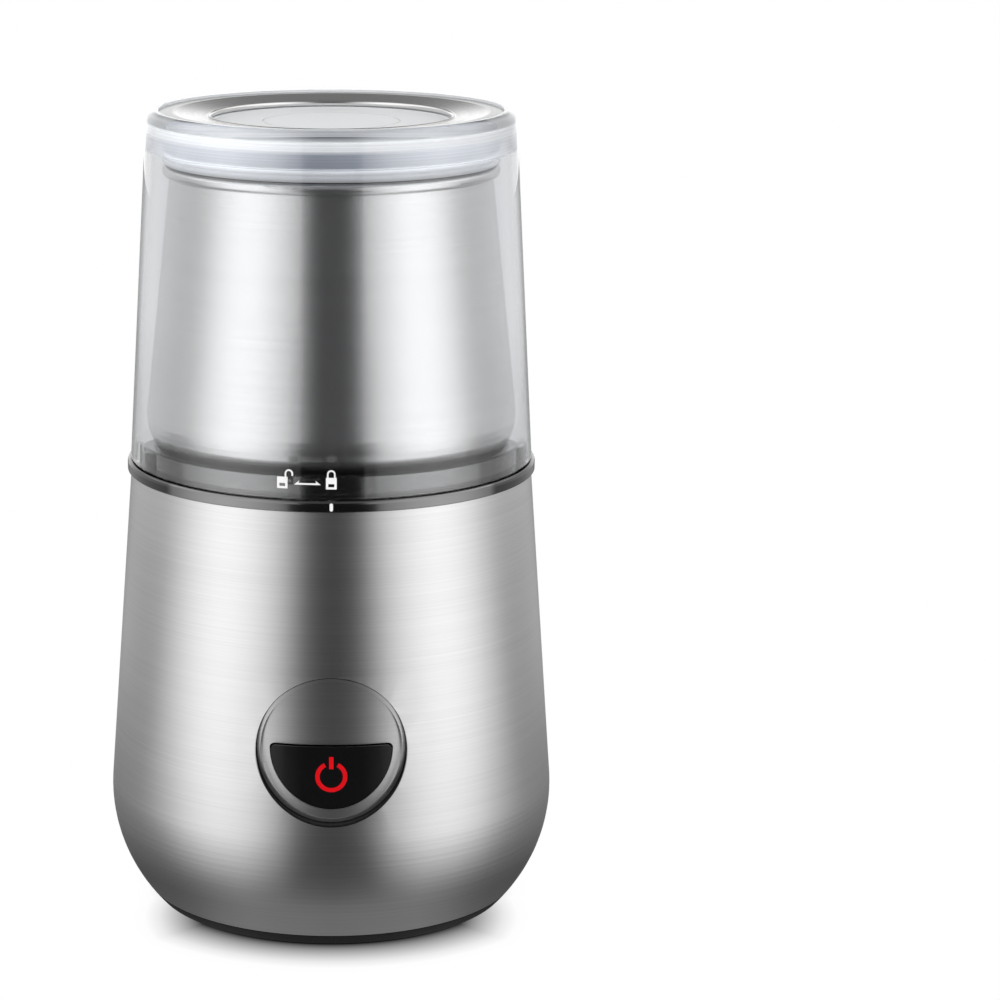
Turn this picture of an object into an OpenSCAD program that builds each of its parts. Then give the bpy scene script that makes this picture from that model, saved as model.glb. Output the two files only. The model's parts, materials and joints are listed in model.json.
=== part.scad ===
// Electric spice grinder: a motor base in a steel skin, a lift-out steel cup that carries its own
// blade, and a clear lid that turns a few degrees to lock.
// Millimetres, +Z up. The feet stand on z = 0, the cup's axis is the Z axis, the button faces -Y.

/* [Cup] */
// Outside radius of the cup at its widest
cup_belly_r = 44.6; // [43:0.1:47]
// Outside radius of the cup's neck, just under the rim bead
cup_neck_r = 39; // [37:0.1:40.5]
// Height of the cup from its flat bottom to the top of the bead
cup_h = 72.5; // [62:0.5:86]
// Radius between the cup's side and its flat bottom
cup_round = 13; // [12:0.5:14]
// Sheet thickness of the cup
cup_wall = 0.8; // [0.6:0.1:1.2]
// Radius of the rolled bead at the cup's mouth
bead_r = 1.4; // [1.1:0.1:1.6]
// Outside radius of the plastic base under the cup
cup_base_r = 31.4; // [29.5:0.1:31.5]
// Height of the plastic base under the cup
cup_base_h = 15.5; // [15.5:0.5:18]
// Wall of the plastic base under the cup
cup_base_wall = 2; // [1.6:0.1:2.6]
// How far the base's three tabs stand out
tab_reach = 3.1; // [2.4:0.1:3.2]
// Width of each tab
tab_w = 11; // [8:0.5:13]

/* [Lid] */
// Wall of the clear lid
lid_wall = 1.8; // [1.4:0.1:2.2]
// How far the lid's top stands outside the cup's neck
lid_top_margin = 5.8; // [5.3:0.1:6.4]
// Thickness of the lid's clear top, above the seal
lid_top_t = 9.3; // [8.3:0.1:11]
// Radius of the lid's rounded top edge
lid_edge_r = 2.5; // [1.5:0.1:2.8]
// Angle that the lid turns from locked to unlocked
lid_turn = 13; // [10:0.5:16]
// Height of the silicone seal
seal_h = 3.2; // [2.6:0.1:4]
// Width of the steel ring's flat rim
ring_rim_w = 3.4; // [2.4:0.1:4.4]
// Sheet thickness of the steel ring
ring_wall = 0.6; // [0.4:0.1:0.8]
// Inner radius of the steel ring's rolled lip
ring_lip_r = 28.9; // [27:0.1:30]
// Depth of the steel ring, from its rim to the middle of its lip
ring_depth = 1.5; // [1.4:0.1:2.4]
// Thickness of the frosted window
window_t = 1.4; // [1.2:0.1:1.8]

/* [Collar] */
// Width of the collar's top, between the cup and the lid
collar_w = 2.35; // [2.1:0.05:3]
// Height of the collar above its flange
collar_h = 5.3; // [5:0.1:6]
// Thickness of the black flange between the lid and the steel skin
flange_t = 2.8; // [2.4:0.1:4]
// How far the flange stands outside the lid
flange_lip = 0.85; // [0.6:0.05:1.2]
// Thickness of the well's floor under the cup
floor_t = 2.2; // [2:0.1:3]

/* [Base] */
// How far the belly of the steel skin stands outside its top edge
belly_out = 5.8; // [4.6:0.1:10]
// Height of the widest place
belly_z = 28; // [26:0.5:31]
// Radius of the rounded lower side
belly_round = 40; // [36:0.5:44]
// Height of the steel skin's top edge
skin_top_z = 109.2; // [107:0.1:118]
// Height of the steel skin's lower edge
skin_low_z = 3.5; // [3:0.1:5]
// Sheet thickness of the steel skin
skin_wall = 0.8; // [0.5:0.1:1]
// Wall of the plastic housing inside the skin
housing_wall = 2.2; // [1.8:0.1:2.6]
// Distance of the rubber feet inside the belly
foot_inset = 20; // [18.5:0.5:22]
// Radius of a rubber foot
foot_r = 5; // [4:0.1:6]
// How far the feet stand below the bottom cover
foot_drop = 0.6; // [0.5:0.1:1.5]

/* [Button] */
// Height of the centre of the round button panel
panel_z = 51.9; // [50:0.1:56]
// Radius of the round button panel
panel_r = 17.7; // [17:0.1:18.5]
// Radius of the D-shaped opening in the panel
opening_r = 14.6; // [14:0.1:15]
// Height of the opening's flat edge above the panel's centre
opening_flat = 1.2; // [1:0.1:3]
// Travel of the button
button_travel = 1.5; // [1:0.1:1.8]
// How far the panel's face sinks in at the height of its centre
scoop_depth = 1; // [0.8:0.1:1.4]

/* [Motor] */
// Height of the stator's stack of plates
stator_h = 26; // [22:0.5:28]
// Outside radius of the stator
stator_r = 30; // [29.5:0.1:31]
// Radius of the rotor's core
rotor_r = 15.7; // [15:0.1:16.5]
// Radius of the motor shaft
motor_shaft_r = 3; // [2.5:0.1:3.2]
// Radius of the blade shaft
blade_shaft_r = 2.5; // [2:0.1:2.8]
// Length of the blade from tip to tip
blade_span = 62; // [48:1:72]

/* [Cord outlet] */
// Radius of the cord's hole in the gland
cord_hole_r = 3.3; // [2.8:0.1:4]

/* [Hidden] */
$fn = 96;

// Clearances
seat_gap = 0.3;        // parts that rest near each other
slip = 0.1;            // parts that are pushed together by hand
press = 0.02;          // parts that are pressed or screwed tight
run = 0.05;            // shafts in their bearings
hole_play = 0.2;       // round parts in a drilled or cut hole
print_play = 0.01;     // printed marks in their recess
skin_gap = 0.15;       // between the steel skin and the plastic housing
cup_seat_gap = 0.8;    // between the cup's round bottom and the collar
lug_space = 2.15;      // between the collar and the lid, where the lugs turn
eps = 0.5;             // overshoot of a cut

// Screws
screw_r = 1.5;
screw_head_r = 2.9;
screw_head_h = 2;
screw_slot_w = 0.8;
screw_slot_depth = 0.8;
screw_hole_r = screw_r + hole_play;
thread_r = screw_r + run;
boss_wall = 1.6;

// The stack of heights, from the top of the steel skin up
flange_top_z = skin_top_z + flange_t;
cup_floor_z = flange_top_z;
cup_top_z = cup_floor_z + cup_h;
bead_z = cup_top_z - bead_r;
lid_low_z = flange_top_z + seat_gap;
seal_low_z = cup_top_z + seat_gap;
lid_under_z = seal_low_z + seal_h;
lid_top_z = lid_under_z + lid_top_t;
collar_top_z = flange_top_z + collar_h;
well_floor_z = cup_floor_z - cup_base_h;
well_under_z = well_floor_z - floor_t;

// Radii, from the cup outwards
bead_offset = 0.5;
cup_c = [cup_belly_r - cup_round, cup_floor_z + cup_round];
cup_a = tangent_angle(cup_c, cup_round, [cup_neck_r, bead_z]);
collar_in_r = side_r(collar_top_z, cup_c, cup_round + cup_seat_gap, cup_a);
collar_r = collar_in_r + collar_w;
lid_low_r = collar_r + lug_space + lid_wall;
lid_top_r = cup_neck_r + lid_top_margin;
flange_r = lid_low_r + flange_lip;
skin_step = 0.9;
skin_top_r = flange_r - skin_step;
belly_r = skin_top_r + belly_out;
foot_ring_r = belly_r - foot_inset;
belly_c = [belly_r - belly_round, belly_z];
belly_a = tangent_angle(belly_c, belly_round, [skin_top_r, skin_top_z]);
housing_in = skin_wall + skin_gap;
housing_back = housing_in + housing_wall;

// Distance of an arc's tangent point, seen from a point outside the arc
function tangent_angle(c, r, p) = atan2(p.y - c.y, p.x - c.x) - acos(r / norm(p - c));
// Radius at height z of a side that is an arc below and a straight taper above
function side_r(z, c, r, a) = z > c.y + r * sin(a)
    ? c.x + (r - (z - c.y) * sin(a)) / cos(a)
    : c.x + sqrt(r * r - (z - c.y) * (z - c.y));
function arc(c, r, a0, a1, n = 12) = [for (k = [0:n]) c + r * [cos(a0 + (a1 - a0) * k / n),
    sin(a0 + (a1 - a0) * k / n)]];
// Outline of such a side from z0 up to z1
function side(z0, z1, c, r, a, n = 20) = z0 > c.y + r * sin(a)
    ? [[side_r(z0, c, r, a), z0], [side_r(z1, c, r, a), z1]]
    : z1 > c.y + r * sin(a)
    ? concat(arc(c, r, asin(max(-1, (z0 - c.y) / r)), a, n), [[side_r(z1, c, r, a), z1]])
    : arc(c, r, asin(max(-1, (z0 - c.y) / r)), asin((z1 - c.y) / r), n);
// Radius of the base at height z, taken in by inset
function base_r(z, inset) = side_r(z, belly_c, belly_round - inset, belly_a);
function cup_side(z0, z1, inset) = side(z0, z1, cup_c, cup_round - inset, cup_a, 14);
function lid_r(z) = lid_low_r + (lid_top_r - lid_low_r) * (z - lid_low_z)
    / (lid_top_z - lid_edge_r - lid_low_z);
// Outline of a disc cut flat above its centre, with rounded corners
function d_outline(r, flat, corner) = let (
        h = flat - corner,
        w = sqrt((r - corner) * (r - corner) - h * h),
        b = atan2(h, w))
    concat(arc([w, h], corner, 90, b, 5), arc([0, 0], r, b - 4, -180 - b + 4, 40),
        arc([-w, h], corner, 180 - b, 90, 5));

module turn(points) { rotate_extrude() polygon(points); }
module disc(r, z0, z1) { translate([0, 0, z0]) cylinder(r = r, h = z1 - z0); }
module ring(r_out, r_in, z0, z1) {
    difference() {
        disc(r_out, z0, z1);
        disc(r_in, z0 - eps, z1 + eps);
    }
}
module block(x0, x1, y0, y1, z0, z1) { translate([x0, y0, z0]) cube([x1 - x0, y1 - y0, z1 - z0]); }
module around(n, r, a = 0) { for (k = [0:n - 1]) rotate(a + 360 * k / n) translate([r, 0, 0]) children(); }
module wedge(a0, a1, r, z0, z1) {
    translate([0, 0, z0]) linear_extrude(z1 - z0)
        polygon([[0, 0], r * [cos(a0), sin(a0)], r * [cos((a0 + a1) / 2), sin((a0 + a1) / 2)] * 1.1,
            r * [cos(a1), sin(a1)]]);
}
// Part of a ring between two angles
module sector(r_out, r_in, a0, a1, z0, z1) {
    intersection() {
        ring(r_out, r_in, z0, z1);
        wedge(a0, a1, r_out * 1.3, z0 - eps, z1 + eps);
    }
}
// Solid of the base's outline from z0 to z1, taken in by inset
module base_body(inset, z0, z1) {
    turn(concat([[0, z0]], side(z0, z1, belly_c, belly_round - inset, belly_a), [[0, z1]]));
}
// Rod along Y, from y0 (front) back to y1
module y_rod(r, x, z, y0, y1) { translate([x, y1, z]) rotate([90, 0, 0]) cylinder(r = r, h = y1 - y0); }
// Flat shape drawn in X and Z, run along Y from y0 (front) back to y1
module y_prism(z, y0, y1) { translate([0, y1, z]) rotate([90, 0, 0]) linear_extrude(y1 - y0) children(); }
// Round wire wound along Z from z0 to z1
module coil_spring(r, wire_r, turns, z0, z1) {
    sides = 6;
    steps_per_turn = 14;
    steps = turns * steps_per_turn;
    pitch = (z1 - z0 - 2 * wire_r) / turns;
    points = [for (i = [0:steps]) let (t = 360 * turns * i / steps)
        for (k = [0:sides - 1]) let (w = r + wire_r * cos(360 * k / sides))
            [w * cos(t), w * sin(t),
                z0 + wire_r + pitch * turns * i / steps + wire_r * sin(360 * k / sides)]];
    tube = [for (i = [0:steps - 1]) for (k = [0:sides - 1]) let (n = (k + 1) % sides)
        [i * sides + k, i * sides + n, (i + 1) * sides + n, (i + 1) * sides + k]];
    low_end = [for (k = [sides - 1:-1:0]) k];
    high_end = [for (k = [0:sides - 1]) steps * sides + k];
    polyhedron(points, concat(tube, [low_end], [high_end]));
}

// ---- Base: skin, housing, collar, bottom ----

panel_hole_r = panel_r + hole_play;
gland_wall = 2.7;
gland_r = cord_hole_r + gland_wall;
gland_z = belly_z;
cover_under_z = foot_drop;
cover_top_z = skin_low_z - hole_play;
cover_screw_inset = 17.1;
cover_screw_ring_r = belly_r - cover_screw_inset;
cover_boss_r = 4.2;
cover_boss_h = 2.1;
cover_boss_low_z = cover_top_z + cover_boss_h;
cover_pillar_h = 10.6;
cover_boss_top_z = cover_boss_low_z + cover_pillar_h;
cover_seat_t = 2.2;
cover_seat_z = cover_boss_low_z - cover_seat_t;
spigot_gap = 0.25;
spigot_t = 1.1;
spigot_h = 3;
foot_socket = 1.6;
foot_wall = 1.5;
rib_half_t = 1.2;
ledge_top_z = well_floor_z;
ledge_t = 2.5;
skirt_gap = 0.2;
skirt_t = 1.8;
collar_boss_r = screw_r + boss_wall;
collar_screw_ring_r = base_r(ledge_top_z, housing_back) - skirt_gap - skirt_t - collar_boss_r;
ledge_in_r = collar_screw_ring_r - screw_head_r - slip;
// Interlock pin that the lid presses down, and its switch on a shelf
pin_offset = 2.15;
pin_ring_r = collar_in_r + pin_offset;
pin_r = 1;
pin_play = 0.08;
pin_boss_r = 2.4;
pin_groove_r = 2;
pin_travel = 2.5;
switch_w = 16;
switch_d = 5.4;
switch_h = 10.5;
shelf_drop = 22.5;
shelf_top_z = ledge_top_z - shelf_drop;
shelf_t = 3;
switch_offset = 4.2;
shelf_y = pin_ring_r - switch_offset;
shelf_margin = 1;

module at_pin() { rotate(90) translate([pin_ring_r, 0, 0]) children(); }

module steel_shell() {
    color("silver")
        difference() {
            base_body(0, skin_low_z, skin_top_z);
            turn(concat([[0, skin_low_z - eps]],
                side(skin_low_z - eps, skin_top_z + eps, belly_c, belly_round - skin_wall, belly_a),
                [[0, skin_top_z + eps]]));
            y_rod(panel_hole_r, 0, panel_z, -belly_r - eps, 0);
            y_rod(gland_r + slip, 0, gland_z, 0, belly_r + eps);
        }
}

module inner_housing() {
    color("dimgray")
        difference() {
            union() {
                difference() {
                    base_body(housing_in, cover_top_z, skin_top_z);
                    base_body(housing_back, cover_top_z - eps, skin_top_z + eps);
                }
                intersection() {
                    base_body(housing_in + 0.5, cover_top_z, skin_top_z);
                    union() {
                        ring(belly_r, ledge_in_r, ledge_top_z - ledge_t, ledge_top_z);
                        block(-switch_w / 2 - shelf_margin, switch_w / 2 + shelf_margin,
                            shelf_y - shelf_margin, belly_r, shelf_top_z - shelf_t, shelf_top_z);
                        around(4, cover_screw_ring_r) {
                            disc(cover_boss_r, cover_boss_low_z, cover_boss_top_z);
                            block(0, belly_r, -rib_half_t, rib_half_t, cover_top_z + spigot_h + slip * 4,
                                cover_boss_top_z);
                        }
                    }
                }
            }
            around(4, cover_screw_ring_r)
                disc(thread_r, cover_boss_low_z - eps, cover_boss_top_z - housing_wall);
            around(3, collar_screw_ring_r, 30)
                disc(screw_hole_r, ledge_top_z - ledge_t - eps, ledge_top_z + eps);
            at_pin() {
                disc(pin_r + pin_play, ledge_top_z - ledge_t - eps, ledge_top_z + eps);
                disc(pin_groove_r, ledge_top_z, skin_top_z + eps);
            }
            y_rod(panel_hole_r, 0, panel_z, -belly_r - eps, 0);
            y_rod(gland_r + slip, 0, gland_z, 0, belly_r + eps);
        }
}

well_play = 0.6;
well_r = cup_base_r + well_play;
well_wall = 2;
slot_r = cup_base_r + tab_reach + well_play;
tab_angle = 30;
lug_half = 4;          // degrees, like the stops beside the lugs
lug_gap = 0.35;
lug_in_r = collar_r + lug_gap;
stop_t = 1.5;
stop_r = collar_r + stop_t;
stop_gap = 0.6;
stop_w = 3;
stop_drop = 0.8;
stop_top_z = collar_top_z - stop_drop;
damper_ring_r = 33;
damper_r = 4.5;
damper_h = 3;
post_r = 4;
post_h = 4.8;
post_low_z = well_under_z - post_h;
shaft_room = 1.5;
hub_hole_r = motor_shaft_r + shaft_room;
drip_ring_r = 13.2;
drip_wall = 1.2;
drip_h = 2.5;
merge = 1;             // how far joined shapes of one part run into each other
collar_thread = 10;
collar_screw_reach = 9.5;

module slot_cut(grow, z0, z1) {
    half_w = tab_w / 2 + well_play + grow;
    around(3, 0, tab_angle) block(0, slot_r + grow, -half_w, half_w, z0, z1);
}

index_half_w = 0.4;
index_low = 0.75;
index_high = flange_t - index_low - hole_play;
print_depth = 0.3;
print_proud = 0.05;

module index_shape(grow) {
    half_w = index_half_w + grow;
    translate([0, 0, skin_top_z]) intersection() {
        ring(flange_r + print_proud, flange_r - print_depth - grow, 0, flange_t);
        y_prism(0, -flange_r - eps, 0) {
            translate([0, index_low]) circle(r = half_w);
            translate([0, index_high]) circle(r = half_w);
            translate([-half_w, index_low]) square([2 * half_w, index_high - index_low]);
        }
    }
}

module stop_block(a) {
    sector(stop_r, collar_r - merge, a, a + stop_w, flange_top_z - merge, stop_top_z);
}

module collar() {
    edge = 0.9;
    chamfer = 0.4;
    low_edge = 0.2;
    pin_cut_half = 4;
    color("black")
        difference() {
            union() {
                turn(concat(
                    [[flange_r - low_edge, skin_top_z], [flange_r, skin_top_z + low_edge]],
                    arc([flange_r - edge, flange_top_z - edge], edge, 0, 90, 5),
                    [[collar_r, flange_top_z], [collar_r, collar_top_z - chamfer],
                        [collar_r - chamfer, collar_top_z], [collar_in_r, collar_top_z]],
                    arc(cup_c, cup_round + cup_seat_gap,
                        asin((collar_top_z - cup_c.y) / (cup_round + cup_seat_gap)),
                        -acos((well_r - cup_c.x) / (cup_round + cup_seat_gap)), 10),
                    [[well_r, well_floor_z], [hub_hole_r, well_floor_z], [hub_hole_r, well_under_z],
                        [well_r + well_wall, well_under_z], [well_r + well_wall, skin_top_z]]));
                // skirt inside the housing
                difference() {
                    base_body(housing_back + skirt_gap, ledge_top_z + merge, skin_top_z + merge);
                    base_body(housing_back + skirt_gap + skirt_t, ledge_top_z, skin_top_z + 2 * merge);
                    block(-pin_cut_half, pin_cut_half, pin_ring_r - pin_cut_half, belly_r, 0, skin_top_z);
                }
                // walls of the three slots
                intersection() {
                    slot_cut(well_wall, well_under_z, skin_top_z + merge);
                    ring(slot_r + well_wall, well_r + merge, well_under_z, skin_top_z + merge);
                }
                around(3, collar_screw_ring_r, 30) disc(collar_boss_r, ledge_top_z, skin_top_z + merge);
                difference() {
                    around(3, damper_ring_r, 90) disc(post_r, post_low_z, well_floor_z + post_r);
                    disc(well_r + merge, well_floor_z - merge, skin_top_z);
                }
                ring(drip_ring_r, drip_ring_r - drip_wall, well_floor_z - merge, well_floor_z + drip_h);
                // stops beside the lid's two lugs
                for (half = [0, 180]) rotate(half) {
                    stop_block(-lug_half - stop_gap - stop_w);
                    stop_block(lid_turn + lug_half + stop_gap);
                }
                // boss round the interlock pin
                intersection() {
                    at_pin() disc(pin_boss_r, flange_top_z - merge, collar_top_z);
                    ring(collar_r + lug_space - 2 * seat_gap, collar_in_r + seat_gap,
                        flange_top_z - merge, collar_top_z);
                }
            }
            slot_cut(0, well_floor_z, collar_top_z + eps);
            around(3, collar_screw_ring_r, 30)
                disc(thread_r, ledge_top_z - eps, ledge_top_z + collar_thread);
            around(3, damper_ring_r, 90) disc(thread_r, post_low_z - eps, well_floor_z - merge);
            at_pin() disc(pin_r + pin_play, skin_top_z - eps, collar_top_z + eps);
            index_shape(print_play);
        }
}

module index_mark() { color("white") index_shape(0); }

module bottom_cover() {
    vents = 16;
    vent_in_r = 12;
    vent_out_r = 27;
    vent_half_w = 1.2;
    spigot_in = housing_back + spigot_gap;
    color("black")
        difference() {
            union() {
                base_body(0, cover_under_z, cover_top_z);
                difference() {
                    base_body(spigot_in, cover_top_z - merge, cover_top_z + spigot_h);
                    base_body(spigot_in + spigot_t, cover_top_z - 2 * merge, cover_top_z + spigot_h + eps);
                }
                around(4, cover_screw_ring_r) disc(cover_boss_r, cover_under_z, cover_boss_low_z);
                around(4, foot_ring_r, 45)
                    disc(foot_r + foot_wall, cover_under_z, cover_under_z + foot_socket + foot_wall);
            }
            around(4, cover_screw_ring_r) {
                disc(screw_head_r + seat_gap, cover_under_z - eps, cover_seat_z);
                disc(screw_hole_r, cover_under_z, cover_boss_low_z + eps);
            }
            around(4, foot_ring_r, 45)
                disc(foot_r + slip, cover_under_z - eps, cover_under_z + foot_socket);
            around(vents, 0)
                block(vent_in_r, vent_out_r, -vent_half_w, vent_half_w,
                    cover_under_z - eps, cover_top_z + eps);
        }
}

module rubber_feet() {
    color("darkslategray") around(4, foot_ring_r, 45) disc(foot_r, 0, cover_under_z + foot_socket);
}

// Screw with its head's seat at z and its shank pointing up
module screw(z, length) {
    half_w = screw_slot_w / 2;
    low = z - screw_head_h - eps;
    high = z - screw_head_h + screw_slot_depth;
    difference() {
        disc(screw_head_r, z - screw_head_h, z);
        block(-screw_head_r, screw_head_r, -half_w, half_w, low, high);
        block(-half_w, half_w, -screw_head_r, screw_head_r, low, high);
    }
    disc(screw_r, high, z + length);
}

module cover_screws() {
    color("gray") around(4, cover_screw_ring_r)
        screw(cover_seat_z, cover_boss_top_z - housing_wall - eps - cover_seat_z);
}

module collar_screws() {
    color("gray") around(3, collar_screw_ring_r, 30)
        screw(ledge_top_z - ledge_t, ledge_t + collar_screw_reach);
}

// ---- Button panel ----

face_r = base_r(panel_z + panel_r, 0) - slip;
panel_t = 2.4;
panel_back_r = face_r - panel_t;
panel_rim_t = 0.9;
panel_flange_w = 2.8;
panel_flange_t = 2;
flange_back = housing_back + slip + panel_flange_t;
corner_r = 1.2;
cap_gap = 0.25;
cap_wall = 1.6;
cap_face_t = 2;
sleeve_wall = 1.5;
// Circuit board behind the panel, with the switch that the button presses
board_depth = 14;
board_y = board_depth - face_r;
board_t = 1.6;
board_half_w = 17;
board_half_h = 17.5;
board_post_r = 2.2;
board_post_at = 12.9;
pcb_screw_r = 1;
pcb_screw_reach = 6;
pcb_head_h = 1.4;
button_drop = 5.5;
button_z = panel_z - button_drop;
micro_h = 4;
micro_w = 10;
micro_back_t = 0.4;
micro_y = board_y - micro_h;
plunger_r = 1.7;
plunger_end_y = board_y - micro_back_t - button_travel - seat_gap;
sleeve_back_y = micro_y - merge;
skirt_back_y = sleeve_back_y - button_travel - merge;
stem_r = 3;
stem_end_y = micro_y - button_travel - seat_gap;
symbol_depth = 0.6;
symbol_drop = 6.4;
symbol_z = panel_z - symbol_drop;
// half the height of the sunk face, which ends just outside the panel
scoop_half = panel_r + 1;
scoop_r = (scoop_half * scoop_half + scoop_depth * scoop_depth) / (2 * scoop_depth);

// Rod along Y at each of the board's four fixing points
module at_posts(r, y0, y1) {
    for (x = [-1, 1], z = [-1, 1]) y_rod(r, x * board_post_at, panel_z + z * board_post_at, y0, y1);
}

module button_bezel() {
    color("silver")
        difference() {
            union() {
                // front plate, which sinks towards its middle so that a finger finds the button, and rim
                intersection() {
                    y_rod(panel_r, 0, panel_z, -belly_r, board_y);
                    union() {
                        rotate_extrude() difference() {
                            translate([panel_back_r, panel_z - scoop_half])
                                square([panel_t, 2 * scoop_half]);
                            translate([face_r - scoop_depth + scoop_r, panel_z]) circle(r = scoop_r);
                        }
                        difference() {
                            base_body(0, cover_top_z, skin_top_z);
                            base_body(flange_back, cover_top_z - eps, skin_top_z + eps);
                            y_rod(panel_r - panel_rim_t, 0, panel_z, -belly_r - eps, 0);
                            ring(belly_r + merge, face_r, 0, skin_top_z);
                        }
                    }
                }
                // flange and board posts behind the housing's wall
                difference() {
                    base_body(housing_back + slip, cover_top_z, skin_top_z);
                    difference() {
                        base_body(flange_back, cover_top_z - eps, skin_top_z + eps);
                        at_posts(board_post_r, -belly_r, board_y);
                    }
                    difference() {
                        disc(belly_r + eps, 0, skin_top_z + eps);
                        y_rod(panel_r + panel_flange_w, 0, panel_z, -belly_r, board_y);
                    }
                    y_rod(panel_r - panel_rim_t, 0, panel_z, -belly_r - eps, board_y - merge);
                    block(-belly_r, belly_r, board_y, belly_r, 0, skin_top_z);
                }
                // sleeve that guides the button
                intersection() {
                    disc(face_r - scoop_depth - merge, 0, skin_top_z);
                    y_prism(panel_z, -belly_r, sleeve_back_y)
                        polygon(d_outline(opening_r + sleeve_wall, opening_flat + sleeve_wall,
                            corner_r + sleeve_wall));
                }
            }
            y_prism(panel_z, -belly_r - eps, sleeve_back_y + eps)
                polygon(d_outline(opening_r, opening_flat, corner_r));
            at_posts(pcb_screw_r + run, board_y - pcb_screw_reach - merge, board_y + eps);
        }
}

module power_shape(grow) {
    out_r = 3.8;
    line_w = 1.05;
    gap_angle = 27;
    bar_low = 1.9;
    bar_h = 3;
    reach = 2 * out_r;
    difference() {
        circle(r = out_r + grow);
        circle(r = out_r - line_w - grow);
        polygon([[0, 2 * grow], reach * [-sin(gap_angle), cos(gap_angle)],
            reach * [sin(gap_angle), cos(gap_angle)]]);
    }
    translate([-line_w / 2 - grow, bar_low - grow]) square([line_w + 2 * grow, bar_h + 2 * grow]);
}

module button_cap() {
    cap_r = opening_r - cap_gap;
    cap_flat = opening_flat - cap_gap;
    cap_corner = corner_r - cap_gap / 2;
    color([0.05, 0.05, 0.055])
        difference() {
            union() {
                difference() {
                    intersection() {
                        disc(face_r, 0, skin_top_z);
                        y_prism(panel_z, -belly_r, skirt_back_y)
                            polygon(d_outline(cap_r, cap_flat, cap_corner));
                    }
                    intersection() {
                        disc(face_r - cap_face_t, 0, skin_top_z);
                        y_prism(panel_z, -belly_r, 0)
                            polygon(d_outline(cap_r - cap_wall, cap_flat - cap_wall, cap_corner));
                    }
                }
                intersection() {
                    disc(face_r - merge, 0, skin_top_z);
                    y_rod(stem_r, 0, button_z, -belly_r, stem_end_y);
                }
            }
            difference() {
                y_prism(symbol_z, -belly_r, 0) power_shape(print_play);
                disc(face_r - symbol_depth, 0, skin_top_z);
            }
        }
}

module power_symbol() {
    color("red")
        intersection() {
            ring(face_r, face_r - symbol_depth, 0, skin_top_z);
            y_prism(symbol_z, -belly_r, 0) power_shape(0);
        }
}

module switch_plunger() { color("ivory") y_rod(plunger_r, 0, button_z, stem_end_y, plunger_end_y); }

module button_spring() {
    wire_r = 0.3;
    coils = 5;
    color("gainsboro") translate([0, micro_y - run, button_z]) rotate([90, 0, 0])
        coil_spring(stem_r + wire_r * 3, wire_r, coils, 0, face_r - cap_face_t - seat_gap + micro_y);
}

module button_switch() {
    color("darkslategray")
        difference() {
            block(-micro_w / 2, micro_w / 2, micro_y, board_y,
                button_z - micro_w / 2, button_z + micro_w / 2);
            y_rod(plunger_r + slip, 0, button_z, micro_y - eps, board_y - micro_back_t);
        }
}

module circuit_board() {
    color("darkgreen")
        difference() {
            block(-board_half_w, board_half_w, board_y, board_y + board_t,
                panel_z - board_half_h, panel_z + board_half_h);
            at_posts(pcb_screw_r + hole_play, board_y - eps, board_y + board_t + eps);
        }
}

module board_screws() {
    color("gray") {
        at_posts(pcb_screw_r, board_y - pcb_screw_reach, board_y + board_t + eps);
        at_posts(pcb_screw_r * 2, board_y + board_t, board_y + board_t + pcb_head_h);
    }
}

module power_leds() {
    led_gap = 3;
    led_x = micro_w / 2 + led_gap;
    half_w = 1.6;
    led_h = 1.4;
    dome_r = 1.1;
    dome_h = 0.8;
    color("tomato") for (x = [-led_x, led_x]) {
        block(x - half_w, x + half_w, board_y - led_h, board_y, button_z - half_w, button_z + half_w);
        y_rod(dome_r, x, button_z, board_y - led_h - dome_h, board_y - led_h / 2);
    }
}

module board_capacitor() {
    size = [14, 6, 8];
    rise = 3;
    color("steelblue") translate([-size.x / 2, board_y + board_t, panel_z + rise]) cube(size);
}

// ---- Cord outlet ----

gland_flange_w = 3;
gland_flange_t = 4;
gland_length = 12.4;
gland_inset = 0.7;
gland_out_y = base_r(gland_z, 0) - gland_inset;
gland_in_y = gland_out_y - gland_length;
gland_flange_y = base_r(gland_z, housing_back) - gland_flange_t;

module cord_gland() {
    color("black")
        difference() {
            union() {
                y_rod(gland_r, 0, gland_z, gland_in_y, gland_out_y);
                intersection() {
                    base_body(housing_back + slip, cover_top_z, skin_top_z);
                    y_rod(gland_r + gland_flange_w, 0, gland_z, gland_flange_y, belly_r);
                }
            }
            y_rod(cord_hole_r, 0, gland_z, gland_in_y - eps, gland_out_y + eps);
        }
}

// ---- Motor ----

bracket_t = 2.5;
top_bracket_top_z = post_low_z - damper_h;
top_bracket_low_z = top_bracket_top_z - bracket_t;
fan_room = 12;
stator_top_z = top_bracket_low_z - fan_room;
stator_low_z = stator_top_z - stator_h;
coil_end = 4;
lower_room = 16.5;
low_bracket_top_z = stator_low_z - lower_room;
low_bracket_low_z = low_bracket_top_z - bracket_t;
bearing_r = 8;
bearing_h = 5;
bolt_ring_r = 26.3;
bolt_r = 1.75;
bolt_head_h = 2.2;
pillar_r = 3.2;
bracket_inset = 0.5;
bracket_r = stator_r - bracket_inset;
air_gap = 0.5;
bore_r = rotor_r + air_gap;
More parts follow.
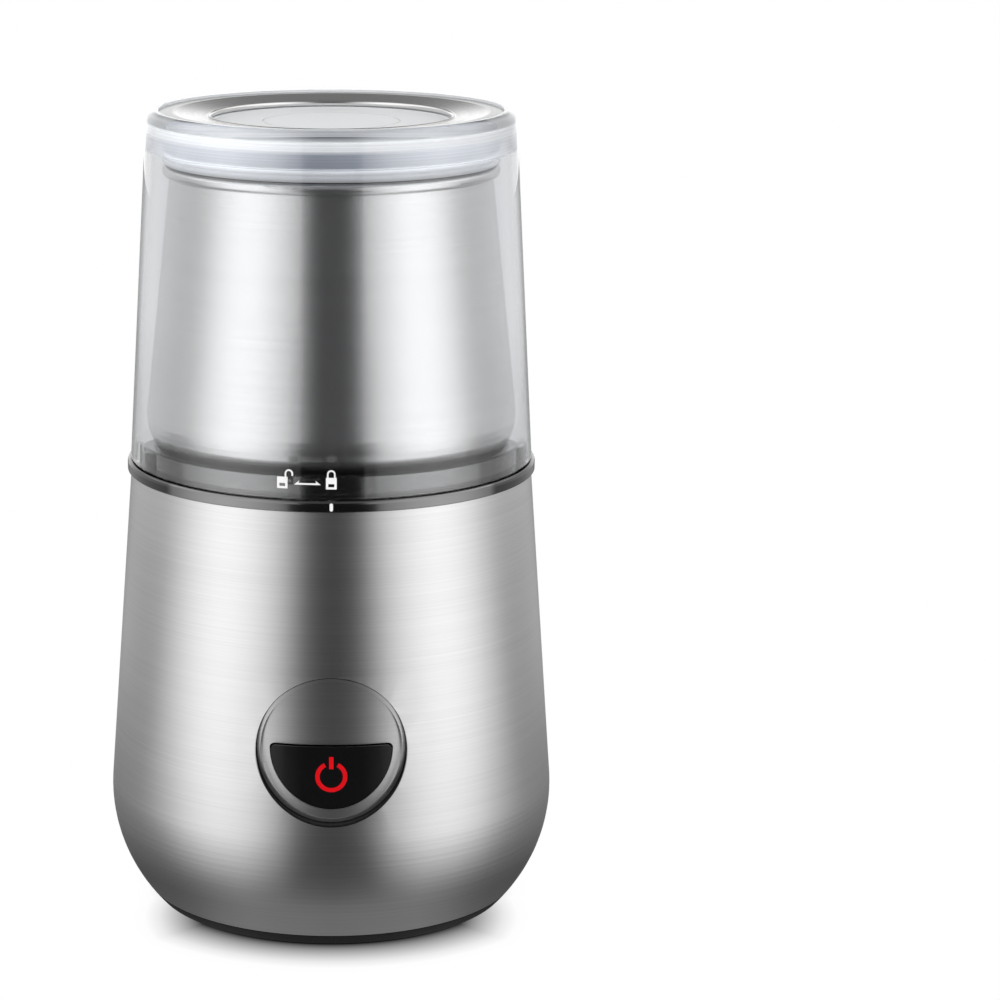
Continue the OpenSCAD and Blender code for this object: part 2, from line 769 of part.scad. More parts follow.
// Half angles of the field poles, and of the slots on both sides of them
pole_angle = 37;
slot_half = 61;
slot_out_r = 22.8;
stator_flat = 4;
bearing_wall = 2;
bearing_floor = 1;
shaft_end_gap = 0.6;
shaft_low_z = low_bracket_low_z - bearing_h + shaft_end_gap;
commutator_r = 9;
commutator_h = 8;
commutator_lift = 2;
commutator_low_z = low_bracket_top_z + commutator_lift;
commutator_top_z = commutator_low_z + commutator_h;
brush_h = 5;
brush_half_w = 3.2;
brush_low_z = commutator_low_z + (commutator_h - brush_h) / 2;
brush_out_r = 23.8;
holder_wall = 1.2;
holder_gap = 1.6;
fan_gap = 1.6;
fan_low_z = stator_top_z + coil_end + fan_gap;
drive_gap = 0.8;
drive_h = 5.7;
drive_low_z = well_floor_z + drive_gap;
drive_top_z = drive_low_z + drive_h;
coupling_gap = 0.4;
shaft_top_z = drive_top_z - coupling_gap;

ear_r = 5;
window_in_r = 12.5;
window_out_r = 21.5;
window_half = 27;

module air_windows(turned, z0, z1) {
    for (k = [0:3]) rotate(turned + 90 * k)
        sector(window_out_r, window_in_r, -window_half, window_half, z0, z1);
}

module top_bracket() {
    color("lightgray")
        difference() {
            union() {
                disc(bracket_r, top_bracket_low_z, top_bracket_top_z);
                around(3, damper_ring_r, 90) disc(ear_r, top_bracket_low_z, top_bracket_top_z);
                around(3, 0, 90)
                    block(window_in_r, damper_ring_r, -ear_r, ear_r, top_bracket_low_z, top_bracket_top_z);
                around(4, bolt_ring_r, 45) disc(pillar_r, stator_top_z, top_bracket_top_z);
                disc(bearing_r + bearing_wall, top_bracket_low_z, top_bracket_top_z + bearing_h);
            }
            disc(bearing_r + press, top_bracket_top_z, top_bracket_top_z + bearing_h + eps);
            disc(hub_hole_r, top_bracket_low_z - eps, top_bracket_top_z + eps);
            around(4, bolt_ring_r, 45) disc(bolt_r + hole_play, stator_top_z - eps, top_bracket_top_z + eps);
            around(3, damper_ring_r, 90)
                disc(screw_hole_r, top_bracket_low_z - eps, top_bracket_top_z + eps);
            air_windows(0, top_bracket_low_z - eps, top_bracket_top_z + eps);
        }
}

module bottom_bracket() {
    pocket_z = low_bracket_low_z - bearing_h;
    color("lightgray")
        difference() {
            union() {
                disc(bracket_r, low_bracket_low_z, low_bracket_top_z);
                around(4, bolt_ring_r, 45) disc(pillar_r, low_bracket_low_z, stator_low_z);
                disc(bearing_r + bearing_wall, pocket_z - bearing_floor, low_bracket_top_z);
            }
            disc(bearing_r + press, pocket_z, low_bracket_top_z + eps);
            disc(hub_hole_r, pocket_z - bearing_floor - eps, low_bracket_top_z);
            around(4, bolt_ring_r, 45)
                disc(bolt_r + press, low_bracket_top_z + 2 * merge, stator_low_z + eps);
            air_windows(45, low_bracket_low_z - eps, low_bracket_top_z + eps);
        }
}

module motor_bearings() {
    race_t = 1.2;
    shield_drop = 0.4;
    color("darkgray") for (z = [top_bracket_top_z, low_bracket_low_z - bearing_h])
        difference() {
            disc(bearing_r, z, z + bearing_h);
            disc(motor_shaft_r + run, z - eps, z + bearing_h + eps);
            ring(bearing_r - race_t, motor_shaft_r + race_t, z + bearing_h - shield_drop,
                z + bearing_h + eps);
        }
}

module mount_dampers() {
    waist = 0.8;
    hole_r = screw_r + seat_gap;
    color("dimgray") around(3, damper_ring_r, 90)
        turn([[hole_r, top_bracket_top_z], [damper_r, top_bracket_top_z],
            [damper_r - waist, top_bracket_top_z + damper_h / 2], [damper_r, post_low_z],
            [hole_r, post_low_z]]);
}

module damper_screws() {
    color("gray") around(3, damper_ring_r, 90)
        screw(top_bracket_low_z, bracket_t + damper_h + post_h + floor_t - merge - eps);
}

module motor_bolts() {
    color("gray") around(4, bolt_ring_r, 45) {
        disc(bolt_r, low_bracket_top_z + 3 * merge, top_bracket_top_z + eps);
        translate([0, 0, top_bracket_top_z]) cylinder(r = 2 * bolt_r, h = bolt_head_h, $fn = 6);
    }
}

module stator_core() {
    color("slategray")
        difference() {
            intersection() {
                disc(stator_r, stator_low_z, stator_top_z);
                block(-stator_r, stator_r, stator_flat - stator_r, stator_r - stator_flat,
                    stator_low_z, stator_top_z);
            }
            disc(bore_r, stator_low_z - eps, stator_top_z + eps);
            for (a = [90, 270], middle = [-1, 1] * (pole_angle + slot_half) / 2) rotate(a + middle)
                sector(slot_out_r, bore_r - merge, (pole_angle - slot_half) / 2, (slot_half - pole_angle) / 2,
                    stator_low_z - eps, stator_top_z + eps);
            around(4, bolt_ring_r, 45) disc(bolt_r + hole_play, stator_low_z - eps, stator_top_z + eps);
        }
}

module field_coils() {
    gap_angle = 1;
    color("chocolate")
        for (a = [90, 270]) rotate(a) difference() {
            sector(slot_out_r - seat_gap, bore_r + 2 * seat_gap, gap_angle - slot_half, slot_half - gap_angle,
                stator_low_z - coil_end, stator_top_z + coil_end);
            sector(slot_out_r + merge, bore_r - merge, -pole_angle - gap_angle, pole_angle + gap_angle,
                stator_low_z - seat_gap, stator_top_z + seat_gap);
        }
}

module brush_holders() {
    color("goldenrod") for (a = [0, 180]) rotate(a)
        difference() {
            block(commutator_r + holder_gap, brush_out_r + holder_wall,
                -brush_half_w - holder_wall, brush_half_w + holder_wall,
                low_bracket_top_z, brush_low_z + brush_h + holder_wall);
            block(commutator_r, brush_out_r + slip, -brush_half_w - slip, brush_half_w + slip,
                brush_low_z - slip, brush_low_z + brush_h + slip);
        }
}

module carbon_brushes() {
    color("black") for (a = [0, 180]) rotate(a)
        block(commutator_r + seat_gap, brush_out_r, -brush_half_w, brush_half_w,
            brush_low_z, brush_low_z + brush_h);
}

module motor_shaft() { color("silver") disc(motor_shaft_r, shaft_low_z, shaft_top_z); }

rotor_slot_r = 1.4;
winding_r = rotor_r - 2 * rotor_slot_r - slip;
rotor_slot_n = 12;
winding_end_h = 4;
module rotor_slots(r, z0, z1) { around(rotor_slot_n, winding_r) disc(r, z0, z1); }

module rotor_core() {
    slot_mouth_half = 0.4;
    color("lightslategray")
        difference() {
            disc(rotor_r, stator_low_z + merge, stator_top_z - merge);
            disc(motor_shaft_r + press, stator_low_z, stator_top_z);
            rotor_slots(rotor_slot_r, stator_low_z, stator_top_z);
            around(rotor_slot_n, winding_r)
                block(0, rotor_r, -slot_mouth_half, slot_mouth_half, stator_low_z, stator_top_z);
        }
}

module rotor_windings() {
    end_half_w = 1.9;
    color("peru") {
        for (z = [stator_low_z + merge - slip * 2 - winding_end_h, stator_top_z - merge + slip * 2])
            ring(winding_r + end_half_w, winding_r - 3 * end_half_w, z, z + winding_end_h);
        rotor_slots(rotor_slot_r - slip, stator_low_z - merge, stator_top_z + merge);
    }
}

module commutator() {
    bar_gap_half = 0.25;
    bar_gap_depth = 1;
    color("orange")
        difference() {
            disc(commutator_r, commutator_low_z, commutator_top_z);
            disc(motor_shaft_r + press, commutator_low_z - eps, commutator_top_z + eps);
            around(rotor_slot_n, commutator_r)
                block(-bar_gap_depth, eps, -bar_gap_half, bar_gap_half,
                    commutator_low_z - eps, commutator_top_z + eps);
        }
}

module cooling_fan() {
    fan_r = 21;
    fan_h = 5;
    plate_t = 1.2;
    hub_wall = 3;
    hub_r = motor_shaft_r + hub_wall;
    blades = 9;
    blade_half_t = 0.7;
    color("ivory")
        difference() {
            union() {
                disc(fan_r, fan_low_z, fan_low_z + plate_t);
                disc(hub_r, fan_low_z, fan_low_z + fan_h);
                around(blades, 0)
                    block(hub_r - merge, fan_r - hole_play, -blade_half_t, blade_half_t,
                        fan_low_z, fan_low_z + fan_h);
            }
            disc(motor_shaft_r + press, fan_low_z - eps, fan_low_z + fan_h + eps);
        }
}

// ---- Coupling between the motor and the cup ----

dog_in_r = 6.4;
dog_out_r = 11;
lobe_half_w = 1.6;
lobe_gap = 0.7;
dog_half = 22;         // half the angle that a driven dog takes up
driven_low_z = drive_top_z + coupling_gap;
driven_t = 3.7;
driven_floor = 0.85;
driven_top_z = driven_low_z + driven_t;
blade_shaft_low_z = driven_low_z + driven_floor;

module drive_coupling() {
    color("dimgray")
        difference() {
            union() {
                disc(dog_in_r - lobe_gap, drive_low_z, drive_top_z);
                around(4, 0)
                    block(0, dog_out_r - 2 * lobe_gap, -lobe_half_w, lobe_half_w, drive_low_z, drive_top_z);
            }
            disc(motor_shaft_r + press, drive_low_z - eps, shaft_top_z + press);
        }
}

module driven_coupling() {
    color("dimgray")
        difference() {
            union() {
                disc(dog_out_r, driven_low_z, driven_top_z);
                around(4, 0, 45)
                    sector(dog_out_r, dog_in_r, -dog_half, dog_half,
                        drive_low_z + lobe_gap, driven_low_z + eps);
            }
            disc(blade_shaft_r + press, blade_shaft_low_z - run, driven_top_z + eps);
        }
}

// ---- Interlock under the lid ----

cam_low_z = collar_top_z + 2 * seat_gap;
pin_top_z = cam_low_z - seat_gap;
pin_tip_h = 1;
pin_tip_r = 0.4;
pin_gap = 1.8;
pin_low_z = shelf_top_z + switch_h + pin_gap;
pin_spring_h = 5.5;
pin_flange_z = ledge_top_z + pin_spring_h;
pin_flange_r = 1.75;
pin_flange_t = 1;

module interlock_pin() {
    color("gainsboro") at_pin() {
        disc(pin_r, pin_low_z, pin_top_z - pin_tip_h);
        translate([0, 0, pin_top_z - pin_tip_h]) cylinder(r1 = pin_r, r2 = pin_tip_r, h = pin_tip_h);
        disc(pin_flange_r, pin_flange_z, pin_flange_z + pin_flange_t);
    }
}

module interlock_spring() {
    wire_r = 0.2;
    coils = 5;
    color("silver") at_pin()
        coil_spring(pin_r + 2.1 * wire_r, wire_r, coils, ledge_top_z + run, pin_flange_z - run);
}

module interlock_switch() {
    switch_top_z = shelf_top_z + switch_h;
    color("black") {
        block(-switch_w / 2, switch_w / 2, shelf_y, shelf_y + switch_d, shelf_top_z, switch_top_z);
        at_pin() disc(pin_r - slip, switch_top_z - merge, pin_low_z - seat_gap);
    }
}

// ---- Cup ----

bush_r = 5.5;
bush_flange_r = 10;
bush_seal_t = 0.6;
bush_flange_z = cup_floor_z + cup_wall + bush_seal_t;
bush_flange_t = 1.6;
base_plate_t = 2.2;
nut_t = 2.2;
nut_low_z = cup_floor_z - base_plate_t - nut_t;
bush_low_z = driven_top_z + seat_gap;
bush_neck_h = 5;
bush_top_z = bush_flange_z + bush_flange_t + bush_neck_h;
washer_t = 0.8;
washer_r = 4.8;
blade_z = bush_top_z + hole_play + washer_t;
blade_t = 1.5;
blade_nut_h = 3.5;
blade_shaft_end = 0.8;
blade_shaft_top_z = blade_z + blade_t + blade_nut_h + blade_shaft_end;

module cup_bowl() {
    color("silver")
        difference() {
            union() {
                turn(concat([[0, cup_floor_z]], cup_side(cup_floor_z, bead_z, 0), [[0, bead_z]]));
                rotate_extrude() translate([cup_neck_r + bead_offset, bead_z]) circle(r = bead_r);
            }
            turn(concat([[0, cup_floor_z + cup_wall]],
                cup_side(cup_floor_z + cup_wall, cup_top_z + eps, cup_wall), [[0, cup_top_z + eps]]));
            disc(bush_r + slip, cup_floor_z - eps, cup_floor_z + cup_wall + eps);
        }
}

module cup_base() {
    inner_r = cup_base_r - cup_base_wall;
    tab_t = 1.8;
    tab_z = well_floor_z + cup_base_h * 0.46;
    tab_rib_t = 1.2;
    tab_rib_low_z = well_floor_z + 2.5;
    tab_rib_r = cup_base_r + tab_reach - tab_rib_t;
    notch_half_w = 1.6;
    notch_h = 2.4;
    guard_r = 15;
    guard_wall = 1.5;
    web_half_t = 0.8;
    color([0.06, 0.06, 0.06])
        difference() {
            union() {
                ring(cup_base_r, inner_r, well_floor_z, cup_floor_z);
                disc(inner_r + merge, cup_floor_z - base_plate_t, cup_floor_z);
                ring(guard_r, guard_r - guard_wall, driven_low_z, cup_floor_z - merge);
                around(6, 0)
                    block(guard_r - merge, inner_r + merge, -web_half_t, web_half_t,
                        driven_top_z, cup_floor_z - merge);
                around(3, 0, tab_angle) {
                    intersection() {
                        block(inner_r + eps, cup_base_r + tab_reach, -tab_w / 2, tab_w / 2,
                            tab_z, tab_z + tab_t);
                        disc(cup_base_r + tab_reach, tab_z - merge, tab_z + tab_t + merge);
                    }
                    for (y = [-tab_w / 2, tab_w / 2 - tab_rib_t])
                        block(cup_base_r - merge, tab_rib_r, y, y + tab_rib_t, tab_rib_low_z, tab_z + eps);
                }
            }
            disc(bush_r + slip, well_floor_z, cup_floor_z + eps);
            around(6, 0, tab_angle + 30)
                block(inner_r - merge, cup_base_r + merge, -notch_half_w, notch_half_w,
                    well_floor_z - eps, well_floor_z + notch_h);
        }
}

module cup_bush() {
    shoulder_r = 7;
    top_r = 4.6;
    color("gainsboro")
        difference() {
            union() {
                disc(bush_r, bush_low_z, bush_flange_z + eps);
                disc(bush_flange_r, bush_flange_z, bush_flange_z + bush_flange_t);
                translate([0, 0, bush_flange_z + eps])
                    cylinder(r1 = shoulder_r, r2 = top_r, h = bush_top_z - bush_flange_z - eps);
            }
            disc(blade_shaft_r + run, bush_low_z - eps, bush_top_z + eps);
        }
}

module bush_nut() {
    nut_r = 9;
    color("silver")
        difference() {
            translate([0, 0, nut_low_z]) cylinder(r = nut_r, h = nut_t, $fn = 6);
            disc(bush_r + press, nut_low_z - eps, nut_low_z + nut_t + eps);
        }
}

module bush_seal() {
    color("firebrick") ring(bush_flange_r, bush_r + slip, cup_floor_z + cup_wall, bush_flange_z);
}

module blade_shaft() {
    color("silver") disc(blade_shaft_r, blade_shaft_low_z, blade_shaft_top_z);
}

module blade() {
    hub_r = 7;
    arm_w = 9;
    tip_len = 9;
    tip_lift_angle = 25;
    tip_rake_angle = 30;
    rest_angle = 20;
    bend_x = blade_span / 2 - tip_len;
    color("silver")
        difference() {
            union() {
                disc(hub_r, blade_z, blade_z + blade_t);
                for (a = [0, 180]) rotate(rest_angle + a) {
                    block(0, bend_x, -arm_w / 2, arm_w / 2, blade_z, blade_z + blade_t);
                    translate([bend_x, 0, blade_z]) rotate([0, -tip_lift_angle, 0])
                        difference() {
                            block(-hole_play, tip_len, -arm_w / 2, arm_w / 2, 0, blade_t);
                            translate([tip_len, -arm_w / 2 - eps, -eps]) rotate(tip_rake_angle)
                                cube([tip_len, 2 * arm_w, blade_t + 2 * eps]);
                        }
                }
            }
            disc(blade_shaft_r + press, blade_z - eps, blade_z + blade_t + eps);
        }
}

module blade_washer() {
    color("gainsboro") ring(washer_r, blade_shaft_r + press, blade_z - washer_t, blade_z);
}

module blade_nut() {
    z = blade_z + blade_t;
    nut_r = 4.6;
    color("gainsboro")
        difference() {
            translate([0, 0, z]) cylinder(r = nut_r, h = blade_nut_h, $fn = 6);
            disc(blade_shaft_r + press, z - eps, z + blade_nut_h + eps);
        }
}

// ---- Lid ----

seal_out_r = cup_neck_r + bead_offset + bead_r;
seal_lap = 1;
seal_in_r = cup_neck_r - seal_lap;
seal_rib_r = seal_in_r - hole_play;
seal_rib_t = 1.8;
seal_rib_gap = 0.9;
seal_rib_low_z = seal_low_z + seal_rib_gap;
lid_border = 3.2;
lid_ledge = 0.8;
lid_in_r = lid_low_r - lid_wall;
ring_r = lid_top_r - lid_border;
ring_sink = 0.5;
ring_top_z = lid_top_z - ring_sink;
ring_seat_z = ring_top_z - ring_wall;
ring_edge = 0.15;
lip_tube_r = 0.7;
lip_z = ring_top_z - ring_depth;
shoulder_z = lip_z - lip_tube_r - hole_play;
window_gap = 0.5;
window_r = ring_lip_r - window_gap;
window_ledge = 2.5;
window_low_z = shoulder_z - window_t;
window_hole_r = window_r - window_ledge;
window_line_r = 16.5;

module lid_seal() {
    soft = 0.5;
    color([0.9, 0.92, 0.95, 0.8])
        turn([[seal_in_r, seal_low_z + soft], [seal_in_r + soft, seal_low_z],
            [seal_out_r - soft, seal_low_z], [seal_out_r, seal_low_z + soft],
            [seal_out_r, lid_under_z - soft], [seal_out_r - soft, lid_under_z], [seal_in_r, lid_under_z]]);
}

// Shapes of the lock symbols, drawn flat with their feet at the origin
icon_line = 0.38;
lock_w = 2.5;
lock_h = 2.7;
keyhole = [1.4, 0.75];
keyhole_z = 0.5;

module padlock_body() {
    difference() {
        translate([-lock_w / 2, 0]) square([lock_w, lock_h]);
        translate([-keyhole.x / 2, keyhole_z]) square(keyhole);
    }
}
module shackle(height) {
    out_r = 1;
    in_r = out_r - icon_line;
    difference() {
        union() {
            translate([0, height]) circle(r = out_r);
            translate([-out_r, 0]) square([2 * out_r, height]);
        }
        translate([0, height]) circle(r = in_r);
        translate([-in_r, -eps]) square([2 * in_r, height + eps]);
    }
}
module closed_padlock() {
    padlock_body();
    translate([0, lock_h - slip]) shackle(0.9);
}
module open_padlock() {
    swing_x = 1.55;
    foot_z = 2.2;
    leg_h = 1.3;
    padlock_body();
    difference() {
        translate([swing_x, foot_z]) shackle(leg_h);
        translate([lock_w / 2 + eps, foot_z - eps]) square([lock_w, leg_h]);
    }
}
module lock_arrow() {
    half = 3.1;
    barb = 1.2;
    rise = 0.95;
    polygon([[-half, 0], [half, 0], [half - barb, rise], [half - barb + hole_play, icon_line],
        [barb - hole_play - half, icon_line], [barb - half, rise]]);
}

icon_lift = 2.3;
icon_z = lid_low_z + icon_lift;
icon_depth = 0.25;
icon_band_h = 10;

module icon_on_lid(angle, z) {
    rotate(angle) y_prism(z, -lid_low_r - eps, -lid_in_r) children();
}

module icon_bodies(grow) {
    band_top_z = lid_low_z + icon_band_h;
    top_r = lid_r(band_top_z);
    intersection() {
        turn([[lid_low_r - icon_depth - grow, lid_low_z], [lid_low_r + print_proud, lid_low_z],
            [top_r + print_proud, band_top_z], [top_r - icon_depth - grow, band_top_z]]);
        union() {
            icon_on_lid(0, icon_z) closed_padlock();
            icon_on_lid(-lid_turn - 0.4, icon_z) open_padlock();
            icon_on_lid(-lid_turn / 2, icon_z + 1) lock_arrow();
        }
    }
}

lug_lift = 0.7;
lug_low_z = lid_low_z + lug_lift;
lug_top_z = collar_top_z - seat_gap;
// Cam rib in the lid, which lets the interlock pin rise as the lid unlocks
cam_h = 5.5;
cam_end = 3;
cam_gap = 0.4;

module lid_cover() {
    inner_round = 0.6;
    rib_in_r = seal_rib_r - seal_rib_t;
    dish_gap = 2;
    dish_r = ring_lip_r + dish_gap;
    rim_in_r = ring_r - ring_rim_w;
    dish_slope = (ring_seat_z - shoulder_z) / (rim_in_r - dish_r);
    roof_low_z = window_low_z - lid_wall;
    roof_high_z = shoulder_z + dish_slope * (rib_in_r - dish_r) - lid_wall;
    // groove between the wall, thicker here, and the rib that carries the seal
    ledge_r = lid_r(lid_under_z) - lid_wall;
    groove_out_r = ledge_r - lid_ledge;
    groove_top_z = ring_seat_z - lid_wall;
    color([0.85, 0.9, 0.95, 0.35])
        difference() {
            union() {
                turn(concat(
                    [[lid_in_r, lid_low_z], [lid_low_r, lid_low_z]],
                    arc([lid_top_r - lid_edge_r, lid_top_z - lid_edge_r], lid_edge_r, 3, 90, 7),
                    [[ring_r + slip, lid_top_z], [ring_r + slip, ring_seat_z],
                        [rim_in_r, ring_seat_z],
                        [dish_r, shoulder_z], [window_r + slip, shoulder_z],
                        [window_r + slip, window_low_z], [window_hole_r, window_low_z],
                        [window_hole_r, roof_low_z], [dish_r, roof_low_z], [rib_in_r, roof_high_z],
                        [rib_in_r, seal_rib_low_z], [seal_rib_r, seal_rib_low_z],
                        [seal_rib_r, lid_under_z], [seal_out_r, lid_under_z], [seal_out_r, groove_top_z]],
                    arc([groove_out_r - inner_round, groove_top_z - inner_round], inner_round, 90, 0, 5),
                    [[groove_out_r, lid_under_z], [ledge_r, lid_under_z]]));
                for (half = [0, 180]) rotate(half)
                    sector(lid_in_r + seat_gap, lug_in_r, -lug_half, lug_half, lug_low_z, lug_top_z);
                // cam that presses the interlock pin
                rotate(90) intersection() {
                    sector(lid_in_r + slip, cup_belly_r + cam_gap, -lid_turn - cam_end, cam_end,
                        cam_low_z, cam_low_z + cam_h);
                    translate([0, 0, cam_low_z]) rotate([90, 0, 90])
                        linear_extrude(lid_low_r) polygon([[cam_h, 0], [0, 0],
                            [-pin_ring_r * sin(lid_turn), pin_travel],
                            [-pin_ring_r * sin(lid_turn + cam_end), pin_travel + eps],
                            [-pin_ring_r * sin(lid_turn + cam_end), cam_h + eps], [cam_h, cam_h + eps]]);
                }
            }
            icon_bodies(print_play);
        }
}

module lock_icons() { color("white") icon_bodies(0); }

module top_ring() {
    drop = ring_top_z - lip_z - lip_tube_r / 2;
    lip_r = ring_lip_r + lip_tube_r;
    color("gainsboro") {
        turn([[ring_r, ring_seat_z], [ring_r, ring_top_z - ring_edge], [ring_r - ring_edge, ring_top_z],
            [ring_r - ring_rim_w, ring_top_z], [lip_r + slip * 2, ring_top_z - drop],
            [lip_r, ring_top_z - drop - ring_wall], [ring_r - ring_rim_w, ring_seat_z]]);
        rotate_extrude() translate([lip_r, lip_z]) circle(r = lip_tube_r);
    }
}

module lid_window() {
    color([0.92, 0.93, 0.94])
        difference() {
            disc(window_r, window_low_z, shoulder_z);
            ring(window_line_r + hole_play, window_line_r - hole_play, shoulder_z - icon_depth,
                shoulder_z + eps);
        }
}

steel_shell();
inner_housing();
collar();
index_mark();
bottom_cover();
rubber_feet();
cover_screws();
collar_screws();
button_bezel();
button_cap();
power_symbol();
button_spring();
switch_plunger();
button_switch();
circuit_board();
board_screws();
power_leds();
board_capacitor();
cord_gland();
top_bracket();
bottom_bracket();
motor_bearings();
mount_dampers();
damper_screws();
motor_bolts();
stator_core();
field_coils();
brush_holders();
carbon_brushes();
motor_shaft();
rotor_core();
rotor_windings();
commutator();
cooling_fan();
drive_coupling();
interlock_pin();
interlock_spring();
interlock_switch();
cup_bowl();
cup_base();
cup_bush();
bush_nut();
bush_seal();
blade_shaft();
driven_coupling();
blade();
blade_washer();
blade_nut();
lid_seal();
lid_cover();
top_ring();
lid_window();
lock_icons();
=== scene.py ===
import bpy
import bmesh
import json
import math
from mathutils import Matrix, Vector


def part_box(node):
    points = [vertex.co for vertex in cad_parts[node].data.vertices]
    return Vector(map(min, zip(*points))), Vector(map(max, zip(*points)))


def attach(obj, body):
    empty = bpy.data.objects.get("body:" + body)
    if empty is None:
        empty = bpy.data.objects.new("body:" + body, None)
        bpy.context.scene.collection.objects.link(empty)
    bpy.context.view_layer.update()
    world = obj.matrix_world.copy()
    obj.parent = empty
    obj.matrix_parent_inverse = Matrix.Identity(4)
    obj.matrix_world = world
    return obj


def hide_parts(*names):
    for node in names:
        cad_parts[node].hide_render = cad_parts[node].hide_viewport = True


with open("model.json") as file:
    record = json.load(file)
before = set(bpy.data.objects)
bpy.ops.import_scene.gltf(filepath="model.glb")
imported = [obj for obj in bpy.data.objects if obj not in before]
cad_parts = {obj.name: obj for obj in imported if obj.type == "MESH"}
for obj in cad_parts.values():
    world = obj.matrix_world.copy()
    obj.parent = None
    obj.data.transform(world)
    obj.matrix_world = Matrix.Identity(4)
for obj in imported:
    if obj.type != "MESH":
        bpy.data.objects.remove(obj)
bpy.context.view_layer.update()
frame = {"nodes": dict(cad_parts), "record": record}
nodes = frame["nodes"]
print("frame loaded:", len(nodes), "nodes")

mm = 0.001  # pieces are given in mm and made in metres


class Wire:  # a node's output, which takes part in sums
    def __init__(self, owner, socket):
        self.owner = owner
        self.socket = socket

    def output(self, name):
        return Wire(self.owner, self.socket.node.outputs[name])

    def maths(self, operation, *others):
        return self.owner.maths(operation, self, *others)

    def __add__(self, other):
        return self.owner.maths("ADD", self, other)

    def __radd__(self, other):
        return self.owner.maths("ADD", other, self)

    def __sub__(self, other):
        return self.owner.maths("SUBTRACT", self, other)

    def __rsub__(self, other):
        return self.owner.maths("SUBTRACT", other, self)

    def __mul__(self, other):
        return self.owner.maths("MULTIPLY", self, other)

    def __rmul__(self, other):
        return self.owner.maths("MULTIPLY", other, self)

    def __truediv__(self, other):
        return self.owner.maths("DIVIDE", self, other)

    def __rtruediv__(self, other):
        return self.owner.maths("DIVIDE", other, self)


class NodeTree:  # a node tree, and the one way to add a node to it
    def __init__(self, tree):
        self.tree = tree

    def add(self, kind, settings=None, inputs=None, output=0):
        node = self.tree.nodes.new(kind)
        for key, value in (settings or {}).items():
            if key == "stops":
                ramp = node.color_ramp
                while len(ramp.elements) < len(value):
                    ramp.elements.new(0.5)
                for element, (place, shade) in zip(ramp.elements, value):
                    element.position = place
                    element.color = (shade, shade, shade, 1) if isinstance(shade, float) else (*shade, 1)
            else:
                setattr(node, key, value)
        for key, value in (inputs or {}).items():
            socket = node.inputs[key]
            if isinstance(value, Wire):
                self.tree.links.new(value.socket, socket)
            elif socket.type == "RGBA" and len(value) == 3:  # a colour without its alpha
                socket.default_value = (*value, 1)
            else:
                socket.default_value = value
        return Wire(self, node.outputs[output] if len(node.outputs) else None)

    def maths(self, operation, *values):
        return self.add("ShaderNodeMath", {"operation": operation}, dict(enumerate(values)))

    def between(self, share, first, second):  # the first shader at 0, the second at 1
        return self.add("ShaderNodeMixShader", {}, {0: share, 1: first, 2: second})


class Finish(NodeTree):  # one material
    def __init__(self, name):
        self.material = bpy.data.materials.new(name)
        self.material.use_nodes = True
        super().__init__(self.material.node_tree)
        self.tree.nodes.clear()

    def place(self):  # where a point of the piece is, in metres
        return self.add("ShaderNodeTexCoord", output="Object")

    def axes(self):
        parts = self.add("ShaderNodeSeparateXYZ", {}, {0: self.place()})
        return [parts.output(axis) for axis in "XYZ"]

    def radius(self):  # distance from the upright axis, and height
        x, y, z = self.axes()
        return (x * x + y * y).maths("SQRT"), z

    def turn(self):  # turn from the front, 0 to 1, the same to the left and right
        x, y, z = self.axes()
        return x.maths("ABSOLUTE").maths("ARCTAN2", y * -1) / math.pi

    def scaled(self, scale):
        return self.add("ShaderNodeMapping", {}, {"Vector": self.place(), "Scale": scale})

    def noise(self, vector, scale=1.0, detail=2.0, rough=0.5):
        return self.add("ShaderNodeTexNoise", {}, {"Vector": vector, "Scale": scale, "Detail": detail,
                                                   "Roughness": rough})

    def ramp(self, value, stops):
        return self.add("ShaderNodeValToRGB", {"stops": stops}, {0: value})

    def rampByMm(self, value, reach, stops):  # a ramp ends at 1, which stands for a reach in mm
        return self.ramp(value * (1 / (reach * mm)), [(place / reach, shade) for place, shade in stops])

    def mix(self, share, first, second):  # the first colour at 0, the second at 1
        return self.add("ShaderNodeMix", {"data_type": "RGBA"}, {0: share, 6: first, 7: second}, output=2)

    def bump(self, height, strength, distance):
        return self.add("ShaderNodeBump", {}, {"Strength": strength, "Distance": distance, "Height": height})

    def show(self, shader):  # ends the material
        self.add("ShaderNodeOutputMaterial", {}, {"Surface": shader})
        return self.material

    def shade(self, inputs):
        return self.show(self.add("ShaderNodeBsdfPrincipled", {}, inputs))


def toned(color, by):  # darker or lighter, up to white
    return tuple(min(c * by, 1) for c in color)


# painted gap shade, near black, on the edge of the round hole and of the panel in it, in mm: it fades out
# above the middle and shows on the front only
paintedGapShade = {"black": (0.004, 0.004, 0.004), "height": 51.9, "soft": 0.05, "fadeBelow": 8.0, "fadeAbove": 6.0,
            "frontFrom": -25.0, "frontTo": -30.0}


def blackEdge(f, inner, outer):
    v = paintedGapShade
    x, y, z = f.axes()
    up = z - v["height"] * mm
    across = (x * x + up * up).maths("SQRT")
    edge = f.rampByMm(across, 50, [(inner - v["soft"], 0.0), (inner, 1.0),
                                   (outer, 1.0), (outer + v["soft"], 0.0)])
    front = f.rampByMm(y, -50, [(v["frontFrom"], 0.0), (v["frontTo"], 1.0)])
    lower = f.rampByMm(z, 100, [(v["height"] - v["fadeBelow"], 1.0), (v["height"] + v["fadeAbove"], 0.0)])
    return edge * front * lower


